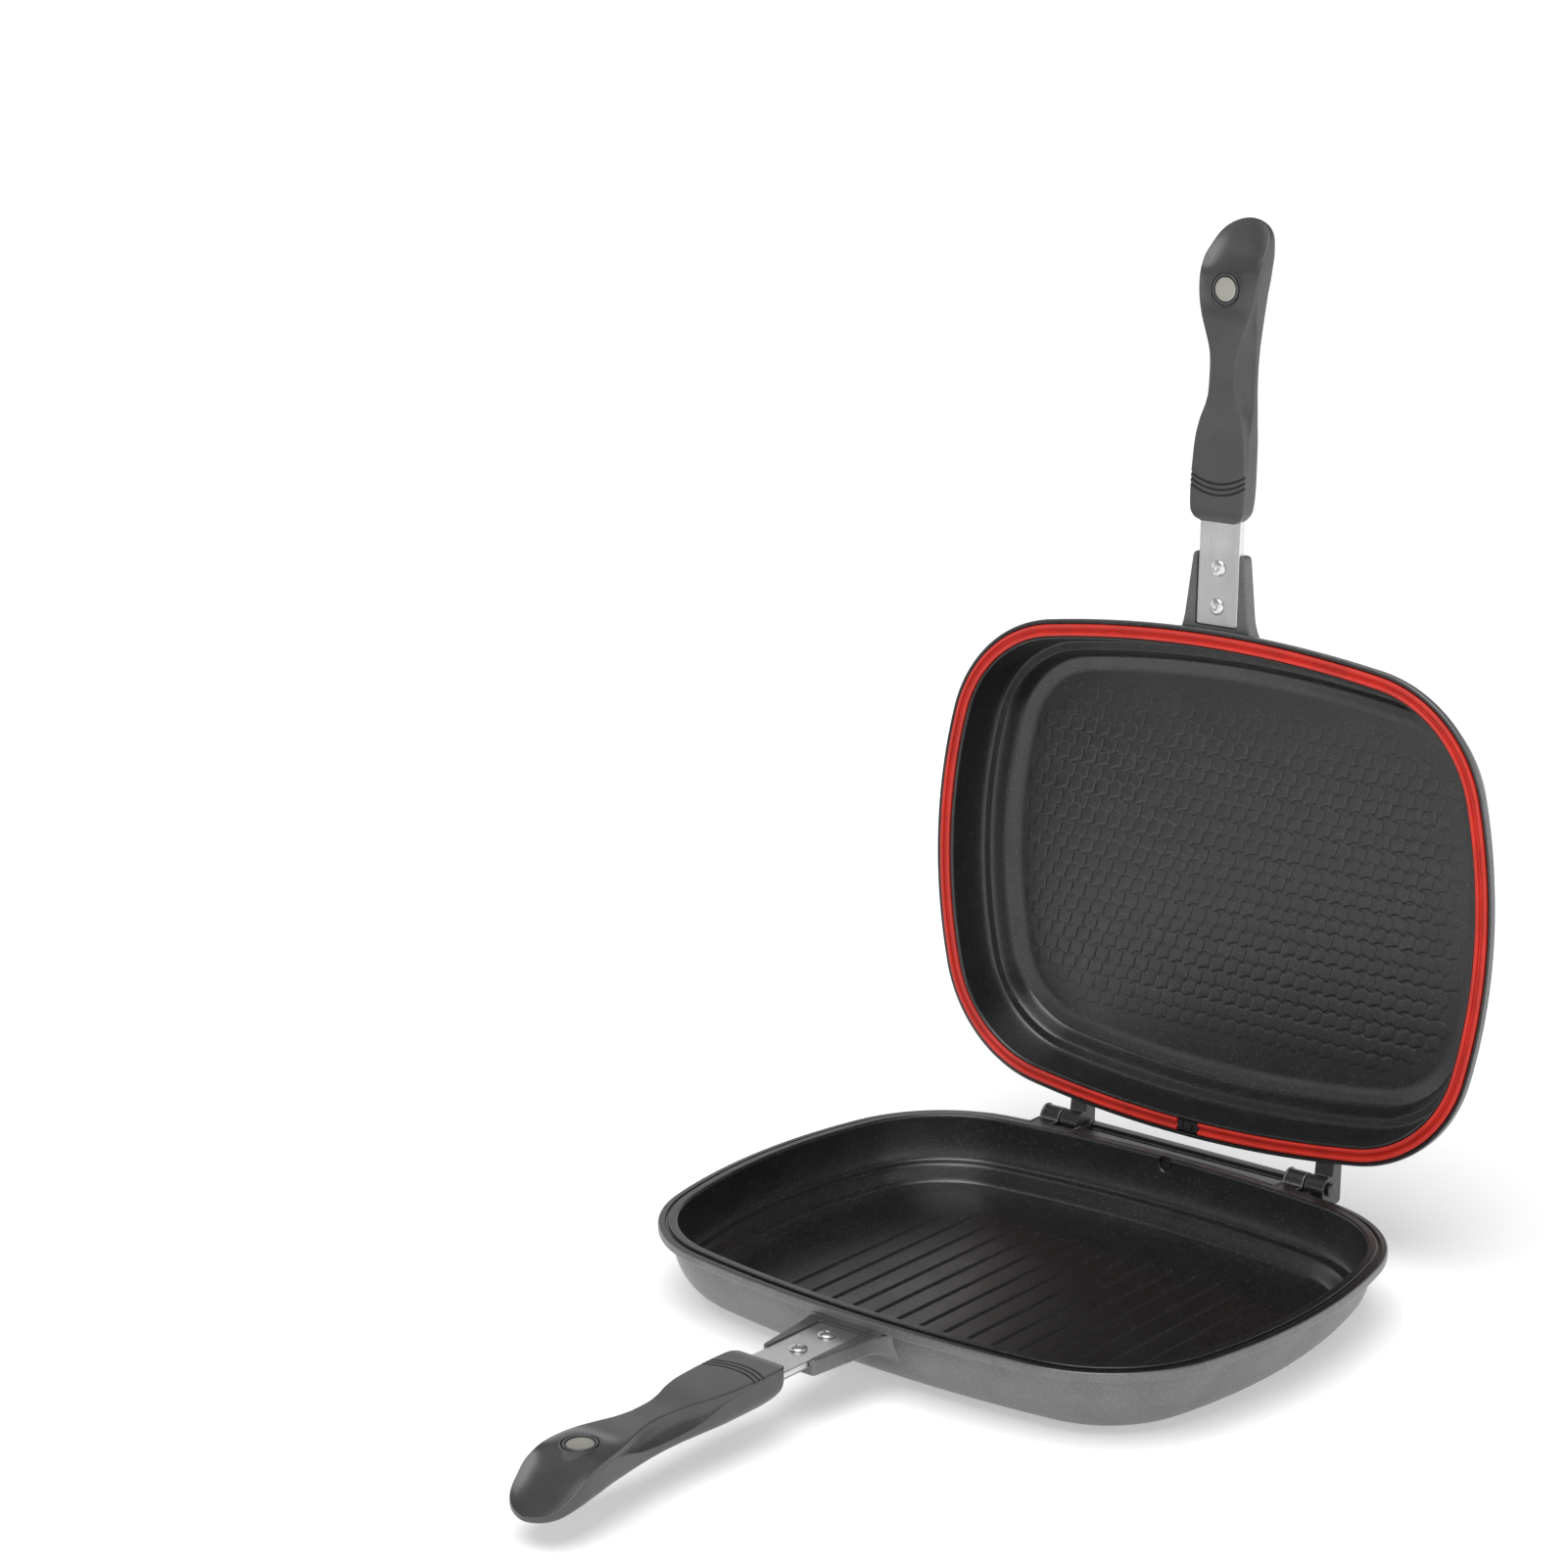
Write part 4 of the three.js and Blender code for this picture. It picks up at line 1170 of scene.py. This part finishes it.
class UpperPan(Casting):
    """The half that serves as lid: gasket channel, woven relief and hinge arms."""

    ARM_BOTTOM, ARM_TOP, ARM_HEEL_TOP, ARM_REACH = -8.4, -3.6, -1.8, 143.8
    ARM_ARC = (-30.0, 210.0)
    ROWS_EACH_SIDE, ROW_PITCH, SCALE_PITCH = 10, 7.9, 8.4
    FIELD_HALF_WIDTH, FIELD_CORNER, FIELD_STRAIGHT_HALF = 126.5, 44.0, 38.0
    SCALE_STEPS = ((4.22, 3.97, -0.1), (4.08, 3.83, 0.18), (3.7, 3.45, 0.33), (2.4, 2.2, 0.4))
    SCALE_SIDES, SCALE_SQUARENESS, SCALE_SLANT, SCALE_WAVE = 20, 0.33, 0.2, 0.85
    BORDER_FADE, BORDER_WIDTH, BORDER_ROWS = 0.45, 40.0, 5.0

    mouth = 10.3
    rim = [(0.0, -1.2, 0.8), (1.9, -1.2, 0.3), (1.9, -3.6, 0.2), (9.1, -3.6, 0.2), (9.1, -1.2, 0.3)]

    def additions(self) -> list[Draft]:
        """Returns the arms with their barrels, and the relief of the floor."""
        nose = self.knuckle(HINGE_DROP, *self.ARM_ARC)
        heel = rounded([(self.HINGE_ROOT, self.ARM_BOTTOM), (self.ARM_REACH, self.ARM_BOTTOM, 1.4),
                        (self.ARM_REACH, self.ARM_HEEL_TOP, 1.2), nose[0]], 4)
        profile = [*heel[:-1], *nose, (self.HINGE_ROOT, self.ARM_TOP)]
        arms = [self.hinge_part(profile, middle, -1, *self.HINGE_EDGE)
                for middle in (self.HINGE_SPREAD, -self.HINGE_SPREAD)]
        return arms + [self.relief()]

    def relief(self) -> Draft:
        """Returns the woven relief: low slanted scales in rows, set like bricks, fading at the border."""
        draft = Draft()
        for j in range(-self.ROWS_EACH_SIDE, self.ROWS_EACH_SIDE + 1):
            y = j * self.ROW_PITCH
            past = max(0.0, abs(y) - self.FIELD_STRAIGHT_HALF)
            span = self.FIELD_HALF_WIDTH - self.FIELD_CORNER + math.sqrt(self.FIELD_CORNER ** 2 - past ** 2)
            count = int(span // self.SCALE_PITCH) + 1
            for i in range(-count, count + 1):
                x = (i + 0.5 * (j % 2)) * self.SCALE_PITCH
                if abs(x) <= span:
                    fade = min(1.0, self.BORDER_FADE + (span - abs(x)) / self.BORDER_WIDTH,
                               self.BORDER_FADE + (self.ROWS_EACH_SIDE - abs(j)) / self.BORDER_ROWS)
                    self.scale(draft, x, y, fade)
        return draft

    def scale(self, draft: Draft, x: float, y: float, fade: float) -> None:
        """Adds one scale of the relief: a low rounded pad whose sides slant.

        Args:
            draft: The draft to add to.
            x: X of the scale's middle.
            y: Y of the scale's middle.
            fade: Share of the full height.
        """
        rings = []
        for half_x, half_y, rise in self.SCALE_STEPS:
            level = (rise * fade if rise > 0 else rise) - self.form.floor_level
            ring = []
            for k in range(self.SCALE_SIDES):
                turn = 2 * math.pi * (k + 0.5) / self.SCALE_SIDES
                u, v = (half * math.copysign(abs(part) ** self.SCALE_SQUARENESS, part)
                        for half, part in ((half_x, math.cos(turn)), (half_y, math.sin(turn))))
                wave = self.SCALE_WAVE * math.sin(2 * math.pi * (x + u) / self.SCALE_PITCH)
                ring.append((x + u + self.SCALE_SLANT * v, y + v + wave, level))
            rings.append(ring)
        draft.loft(rings, Coat.NON_STICK)


class Gasket(SubAssembly):
    """The red silicone strip in the lid's rim, and the clip that holds its ends."""

    INSET, WIDTH, SEAT, FACE = 2.5, 6.0, -3.3, -0.3
    RIB, RIB_ROOT, RIB_ROUND, CHANNEL, CREASE = 1.7, 0.5, 0.6, 1.5, 0.35
    GAP_HALF, GAP_MARGIN = 6.5, 0.8
    CLIP_HALF, JAW_START, HOOK_HALF = 6.2, 3.1, 2.2
    CLIP_SEAT_TOP, CLIP_ROOT, JAW_TOP, HOOK_TOP = -1.9, -2.4, -1.2, -0.7
    CLIP_GAP, JAW_GAP, HOOK_GAP = 0.3, 0.35, 1.4

    def profile(self) -> list[Flat]:
        """Returns the strip's section with its two rounded ribs."""
        start, end, face = self.INSET, self.INSET + self.WIDTH, self.FACE
        low, middle, crease = face - self.CHANNEL, (start + end) / 2, self.CREASE
        rib, root, soft = self.RIB, self.RIB + self.RIB_ROOT, self.RIB_ROUND
        return rounded([
            (start, self.SEAT), (start, face, soft), (start + rib, face, soft), (start + root, low, crease),
            (middle - crease, low), (middle, low - crease), (middle + crease, low), (end - root, low, crease),
            (end - rib, face, soft), (end, face, soft), (end, self.SEAT)], 4, True)

    def strip(self) -> None:
        """Builds the strip, open at the rear where the clip sits."""
        stations = OUTLINE.stations()
        middle = min(range(len(stations)),
                     key=lambda k: math.hypot(stations[k][0], stations[k][1] - OUTLINE.length / 2))
        kept = [station for station in stations[middle + 1:] + stations[:middle]
                if abs(station[0]) >= self.GAP_HALF + self.GAP_MARGIN or station[1] <= 0]
        gap, turn = self.GAP_HALF, math.asin(self.GAP_HALF / OUTLINE.front_radius)
        first, last = ((side * gap, OUTLINE.rear_y(gap), side * math.sin(turn), math.cos(turn))
                       for side in (-1, 1))
        section = self.profile()
        rings = [[(x - u * inset, y - v * inset, z) for inset, z in section]
                 for x, y, u, v in (first, *kept, last)]
        item = Draft().loft(rings).object("lid_gasket_strip", [self.finishes.silicone])
        self.hand_over(item, "gasket", "lid_gasket")

    def clip(self) -> None:
        """Builds the clip: a seat block, two jaws and a hook between them."""
        rear = OUTLINE.length / 2 - self.INSET
        front = rear - self.WIDTH
        parts = []
        for xs, gap, zs, edge, segments in (
                ((-self.CLIP_HALF, self.CLIP_HALF), self.CLIP_GAP, (self.SEAT, self.CLIP_SEAT_TOP), 0.3, 2),
                ((-self.CLIP_HALF, -self.JAW_START), self.JAW_GAP, (self.CLIP_ROOT, self.JAW_TOP), 0.35, 2),
                ((self.JAW_START, self.CLIP_HALF), self.JAW_GAP, (self.CLIP_ROOT, self.JAW_TOP), 0.35, 2),
                ((-self.HOOK_HALF, self.HOOK_HALF), self.HOOK_GAP, (self.CLIP_ROOT, self.HOOK_TOP), 0.4, 3)):
            parts.append(Draft().block(xs, (front + gap, rear - gap), zs).bevel(edge, segments))
        item = Draft().absorb(*parts).object("gasket_clip_block", [self.finishes.clip])
        self.hand_over(item, "clip", "gasket_clip")

    def build(self) -> None:
        """Builds strip and clip."""
        self.strip()
        self.clip()


@dataclass(frozen=True)
class GripForm:
    """Sizes of a moulded grip; the table holds shares of them, one row for each station.

    A row is: place along the grip, half width and drop of the mating face, half width of the
    shoulder, drop of the scoop's lower edge, drop of the shoulder, drop of the back.
    """

    start: float = 181.5
    length: float = 146.0
    half_width: float = 17.5
    depth: float = 25.0
    face_share: float = 0.128
    face_steps: int = 12
    edge: float = 0.6
    edge_steps: int = 3
    scoop_steps: int = 12
    back_steps: int = 16
    spans: int = 110
    squareness: float = 0.85
    brink_shares: tuple[float, ...] = (0.06, 0.14, 0.26, 0.45, 0.7, 1.0)
    dish: float = 3.2
    dish_start_share: float = 0.822
    dish_length_share: float = 0.185
    dish_pace: float = 0.62
    dish_fullness: float = 0.9
    crown: float = 1.35
    crown_share: float = 0.768
    crown_reach_share: float = 0.075
    groove_start: float = 12.8
    groove_pitch: float = 2.7
    groove_setback: float = 30.0
    groove_radius: float = 29.4
    groove_arc: float = 44.0
    groove_half_width: float = 0.62
    groove_depth: float = 1.05
    station_shares: tuple[tuple[float, ...], ...] = (
        (0, .56, .19, .56, .27, .36, .5), (.013, .76, .146, .76, .246, .38, .6),
        (.04, .88, .128, .88, .228, .42, .72), (.075, .9, .128, .9, .228, .44, .78),
        (.122, .903, .128, .903, .228, .46, .8), (.204, .869, .128, .88, .24, .5, .8),
        (.276, .811, .128, .85, .28, .54, .792), (.337, .697, .136, .81, .39, .56, .776),
        (.393, .531, .15, .785, .46, .57, .76), (.446, .44, .16, .765, .485, .57, .748),
        (.507, .417, .16, .76, .49, .575, .744), (.568, .48, .156, .775, .47, .58, .752),
        (.626, .623, .15, .82, .42, .58, .768), (.684, .79, .156, .87, .32, .58, .796),
        (.745, .91, .176, .925, .276, .58, .832), (.806, .965, .22, .975, .32, .62, .876),
        (.867, .985, .365, .99, .465, .68, .93), (.918, .92, .59, .926, .67, .77, .975),
        (.945, .84, .7, .846, .77, .83, 1.0), (.965, .72, .775, .727, .83, .875, 1.01),
        (.982, .54, .835, .547, .875, .91, 1.015), (.993, .34, .872, .345, .9, .93, 1.01),
        (.998, .18, .89, .185, .91, .935, 1.0), (1, .06, .9, .065, .915, .94, .985))


class Handle(SubAssembly):
    """Strap, rivets, grip and magnet of one half."""

    STRAP_PLAN = ((12, -130.2, 1.4), (-12, -130.2, 1.4), (-12, -205, 1.0), (-4.5, -232, 3.0),
                  (-4.5, -241, 1.0), (4.5, -241, 1.0), (4.5, -232, 3.0), (12, -205, 1.0))
    STRAP_BOTTOM, STRAP_TOP = -10.55, -7.75
    STRAP_EDGE = (0.55, 3, 50.0)
    SHANK, HEAD, HEAD_HEIGHT, HEAD_SEAT = 2.5, 4.6, 2.0, -13.95
    UPSET, UPSET_HEIGHT, UPSET_SEAT, UPSET_TURN = 4.1, 1.5, -7.45, 66
    RIVET_SIDES, COLLAR_SIDES = 40, 56
    DIMPLE = ((1.35, 1.42), (1.05, 1.2), (0.7, 0.95), (0.15, 0.85))
    MAGNET_Y = -294.0
    MAGNET = ((0.3, -3.3), (5.5, -3.3), (5.85, -3.4), (6.0, -3.7), (6.0, -6.0), (5.7, -6.3), (0.3, -6.3))
    POCKET = ((0.3, -7.5), (9.0, -7.5), (9.0, 1.0), (0.3, 1.0))
    COLLAR = ((0.3, -6.6), (6.3, -6.6), (6.3, -3.35), (6.5, -3.05), (6.85, -2.95), (7.25, -3.0), (7.55, -3.3),
              (7.7, -4.1), (8.1, -4.1), (8.25, -3.3), (8.5, -3.1), (8.8, -3.15), (9.05, -3.5), (9.2, -12),
              (0.3, -12))
    form = GripForm()

    def strap(self) -> None:
        """Builds the steel strap with its narrower tang."""
        item = Draft().prism(rounded(self.STRAP_PLAN, 4, True), self.STRAP_BOTTOM, self.STRAP_TOP)
        item = item.bevel(*self.STRAP_EDGE).object(self.name("strap_strip"), [self.finishes.steel])
        self.hand_over(item, "straps", self.name("handle_strap"))

    def rivet(self, y: float, place: str) -> None:
        """Builds one rivet: painted dome outside, bright upset end with a dimple inside.

        Args:
            y: Distance of the rivet from the pan's middle.
            place: inner or outer.
        """
        seat, upset, height = self.HEAD_SEAT, self.UPSET_SEAT, self.HEAD_HEIGHT
        dome = [(self.HEAD * math.sqrt(1 - (1 - k / 8) ** 2), seat - height * (1 - k / 8))
                for k in range(1, 9)]
        turns = [math.radians(self.UPSET_TURN * k / 7) for k in range(8)]
        end = [(self.UPSET * math.cos(turn), upset + self.UPSET_HEIGHT * math.sin(turn)) for turn in turns]
        profile = [(0.2, seat - height), *dome, (self.SHANK, seat), (self.SHANK, upset), *end,
                   *((radius, upset + rise) for radius, rise in self.DIMPLE)]
        painted = len(dome) + 1
        slots = [0] * painted + [1] * (len(profile) - 1 - painted)
        item = Draft().turned(profile, -y, self.RIVET_SIDES, slots).object(
            self.name(f"rivet_{place}_turned"), [self.finishes.paint, self.finishes.steel])
        self.hand_over(item, "rivets", self.name(f"rivet_{place}"), 50.0)

    def ring(self, share: float) -> list[Point]:
        """Draws the grip's section.

        Args:
            share: Place along the grip, from 0 at the strap to 1 at the tip.

        Returns:
            The section's points, anticlockwise from the middle of the mating face.
        """
        form = self.form
        places = [row[0] for row in form.station_shares]
        face, drop, shoulder, brink, low, back = (
            Track(places, column).at(share) for column in list(zip(*form.station_shares))[1:])
        face, shoulder = face * form.half_width, shoulder * form.half_width
        drop, brink, low, back = drop * form.depth, brink * form.depth, low * form.depth, back * form.depth
        soft = min(form.edge, face / 4, (brink - drop) / 3)
        flat = face - soft

        def arc(steps: int) -> list[Flat]:
            """Returns the sine and cosine at the steps of a right angle, without its start."""
            return [(math.sin(math.pi / 2 * k / steps), math.cos(math.pi / 2 * k / steps))
                    for k in range(1, steps + 1)]

        line = [(flat * k / form.face_steps, drop + self.hollow(share, k / form.face_steps))
                for k in range(form.face_steps + 1)]
        line += [(flat + soft * sine, drop + soft - soft * cosine) for sine, cosine in arc(form.edge_steps)]
        reach, deep = shoulder - face, brink - drop - soft
        line += [(face + reach * (1 - cosine), drop + soft + deep * sine)
                 for sine, cosine in arc(form.scoop_steps)]
        corner = len(line) - 1
        line += [(shoulder, brink + (low - brink) * part) for part in form.brink_shares]
        line += [(shoulder * cosine ** form.squareness, low + (back - low) * sine ** form.squareness)
                 for sine, cosine in arc(form.back_steps)[:-1]]
        line.append((0.0, back))
        for _ in range(2):
            line[corner - 2:corner + 3] = [
                ((a[0] + 2 * b[0] + c[0]) / 4, (a[1] + 2 * b[1] + c[1]) / 4)
                for a, b, c in zip(line[corner - 3:], line[corner - 2:corner + 3], line[corner - 1:])]
        y = -(form.start + form.length * share)
        right = [(x, y, -depth) for x, depth in line]
        return right + [(-x, y, z) for x, _, z in right[-2:0:-1]]

    def hollow(self, share: float, across: float) -> float:
        """Returns how far the face is dished at a place, or raised round the collar.

        Args:
            share: Place along the grip, from 0 at the strap to 1 at the tip.
            across: Place across the face, from 0 in the middle to 1 at its edge.

        Returns:
            The extra drop, negative where the face is raised.
        """
        form = self.form
        run = max(0.0, min(1.0, (share - form.dish_start_share) / form.dish_length_share))
        dish = form.dish * math.sin(math.pi * run ** form.dish_pace) ** form.dish_fullness
        rise = form.crown * math.exp(-((share - form.crown_share) / form.crown_reach_share) ** 4)
        return (dish - rise) * (1 - across ** 4)

    def groove(self, number: int) -> Draft:
        """Returns the cutter of one of the arc grooves across the grip, counted from the strap."""
        form = self.form
        apex = form.start + form.groove_start + number * form.groove_pitch
        centre = Vector((0, -(apex + form.groove_setback), -form.face_share * form.depth))
        rings = []
        for k in range(25):
            turn = math.radians(form.groove_arc * (k / 12 - 1))
            out = Vector((math.sin(turn), math.cos(turn), 0))
            rings.append([tuple(centre + out * (form.groove_radius + form.groove_half_width * math.cos(t))
                                + Vector((0, 0, form.groove_depth * math.sin(t))))
                          for t in (2 * math.pi * n / 12 for n in range(12))])
        return Draft().loft(rings)

    def grip(self) -> None:
        """Builds the grip: lofted body with three arc grooves, and the magnet's collar."""
        skin = [self.finishes.phenolic]
        spans = self.form.spans
        rings = [self.ring(0.5 - 0.5 * math.cos(math.pi * k / spans)) for k in range(spans + 1)]
        body = Draft().loft(rings).object(self.name("grip_moulding"), skin)
        pocket = Draft().turned(self.POCKET, self.MAGNET_Y, self.COLLAR_SIDES)
        cuts = [*(self.groove(i) for i in range(3)), pocket]
        Bench.combine(body, Draft().absorb(*cuts).object("cuts", skin))
        collar = Draft().turned(self.COLLAR, self.MAGNET_Y, self.COLLAR_SIDES)
        Bench.join(body, collar.object("collar", skin))
        self.hand_over(body, "grips", self.name("grip"), 40.0)

    def magnet(self) -> None:
        """Builds the plated magnet with its broken edge."""
        item = Draft().turned(self.MAGNET, self.MAGNET_Y).object(
            self.name("magnet_disc"), [self.finishes.nickel])
        self.hand_over(item, "magnets", self.name("magnet"))

    def build(self) -> None:
        """Builds every piece of the handle."""
        self.strap()
        for y, place in zip(LUG.rivets, ("inner", "outer")):
            self.rivet(y, place)
        self.grip()
        self.magnet()


class HingePins(SubAssembly):
    """The two headed pins that the lid turns on."""

    HEAD_GAP, BLIND_GAP = 0.3, 1.5
    HEAD = ((3.3, 0.0), (3.6, 0.3), (3.6, 0.8), (3.1, 1.3), (1.6, 1.5), (0.2, 1.5))
    RADIUS, END_RADIUS, END_CHAMFER = 2.4, 2.1, 0.4

    def build(self) -> None:
        """Builds both pins."""
        for side, place in ((-1, "left"), (1, "right")):
            seat = side * (Casting.HINGE_SPREAD + Casting.PAIR_HALF + self.HEAD_GAP)
            blind = side * (Casting.HINGE_SPREAD - Casting.PAIR_HALF + self.BLIND_GAP)
            profile = [(0.2, blind), (self.END_RADIUS, blind), (self.RADIUS, blind + side * self.END_CHAMFER),
                       (self.RADIUS, seat), *((radius, seat + side * rise) for radius, rise in self.HEAD)]
            pin = Draft().turned(profile, count=32)
            pin.turn(Matrix.Translation((0, HINGE_Y, -HINGE_DROP)) @ Matrix.Rotation(math.pi / 2, 4, "Y"))
            item = pin.object(f"hinge_pin_{place}_turned", [self.finishes.blackened])
            self.hand_over(item, "pins", f"hinge_pin_{place}")


class Studio:
    """Camera, pale floor and soft lights, in metres."""

    CAMERA_PLACE = (0.9336, -1.2244, 0.6468)
    CAMERA_AIM = (-0.612, 0.757, -0.228)
    SUN_AIM = (-0.12, 0.34, -0.92)
    FLOOR = ((-40, -40, 0), (40, -40, 0), (40, 40, 0), (-40, 40, 0))
    LYING_CARD = ((-3.0, -3.0, 0.002), (-0.5, -3.0, 0.002), (-0.5, -0.2, 0.002), (-3.0, -0.2, 0.002))
    STANDING_CARD = ((-3.2, -2.0, 0.8), (-0.3, -3.4, 0.8), (-0.3, -3.4, 1.8), (-3.2, -2.0, 1.8))

    @staticmethod
    def aim(item: Item, direction: Point) -> None:
        """Turns a camera or a sun to a direction."""
        item.rotation_euler = Vector(direction).to_track_quat("-Z", "Y").to_euler()

    def camera(self) -> None:
        """Sets the camera at the photograph's viewing angle."""
        data = bpy.data.cameras.new("camera")
        data.sensor_fit, data.sensor_width, data.lens = "HORIZONTAL", 36.0, 79.74
        data.shift_x, data.shift_y = -0.0908, -0.0437
        data.clip_end = 200.0
        item = Bench.show("camera", data)
        item.location = self.CAMERA_PLACE
        self.aim(item, self.CAMERA_AIM)
        bpy.context.scene.camera = item

    @staticmethod
    def plate(name: str, corners: Sequence[Point], constants: dict[str, object]) -> Item:
        """Lays a flat face that belongs to the studio.

        Args:
            name: Name of the face and of its material.
            corners: Its corners.
            constants: Constants for its shader's inputs, by name.

        Returns:
            The new object.
        """
        data = bpy.data.meshes.new(name)
        data.from_pydata(corners, [], [tuple(range(len(corners)))])
        data.materials.append(Surface(name, constants).material)
        item = Bench.show(name, data)
        return item

    def sky(self) -> None:
        """Makes a white sky that is bright near the horizon and dim above."""
        world = bpy.data.worlds.new("studio")
        world.use_nodes = True
        nodes = NodeTree(world.node_tree)
        parts = nodes.add("SeparateXYZ", {0: nodes.add("TexCoord").outputs["Generated"]})
        backdrop = world.node_tree.nodes["Background"]
        backdrop.inputs["Color"].default_value = (1, 1, 1, 1)
        nodes.feed(nodes.band(parts.outputs[2], 0.24, 0.58, 1.12, 0.09), backdrop.inputs["Strength"])
        bpy.context.scene.world = world
        bpy.context.scene.view_settings.view_transform = "Standard"

    def build(self) -> None:
        """Sets up camera, floor, sky, the overhead light and two dark cards.

        The cards only show in reflections, which they deepen on one side.
        """
        self.camera()
        self.plate("floor", self.FLOOR, {
            "Base Color": (0.92, 0.92, 0.92, 1), "Roughness": 0.75, "Specular IOR Level": 0.2,
            "Emission Color": (0.36, 0.36, 0.36, 1), "Emission Strength": 1.0})
        self.sky()
        for corners in (self.LYING_CARD, self.STANDING_CARD):
            card = self.plate("dark_card", corners, {
                "Base Color": (0.02, 0.02, 0.02, 1), "Specular IOR Level": 0.0})
            card.visible_camera = card.visible_diffuse = card.visible_shadow = False
        overhead = bpy.data.lights.new("overhead_softbox", "SUN")
        overhead.energy, overhead.angle = 2.1, math.radians(48)
        self.aim(Bench.show("overhead_softbox", overhead), self.SUN_AIM)


def main() -> None:
    """Builds the scene and reports each piece."""
    logging.basicConfig(level=logging.INFO, format="%(name)s %(message)s")
    Studio().build()
    finishes = Finishes()
    for kind, half in ((LowerPan, Half.LOWER), (UpperPan, Half.UPPER), (Gasket, Half.UPPER),
                       (Handle, Half.LOWER), (Handle, Half.UPPER), (HingePins, Half.LOWER)):
        kind(finishes, half).build()


if __name__ == "__main__":
    main()
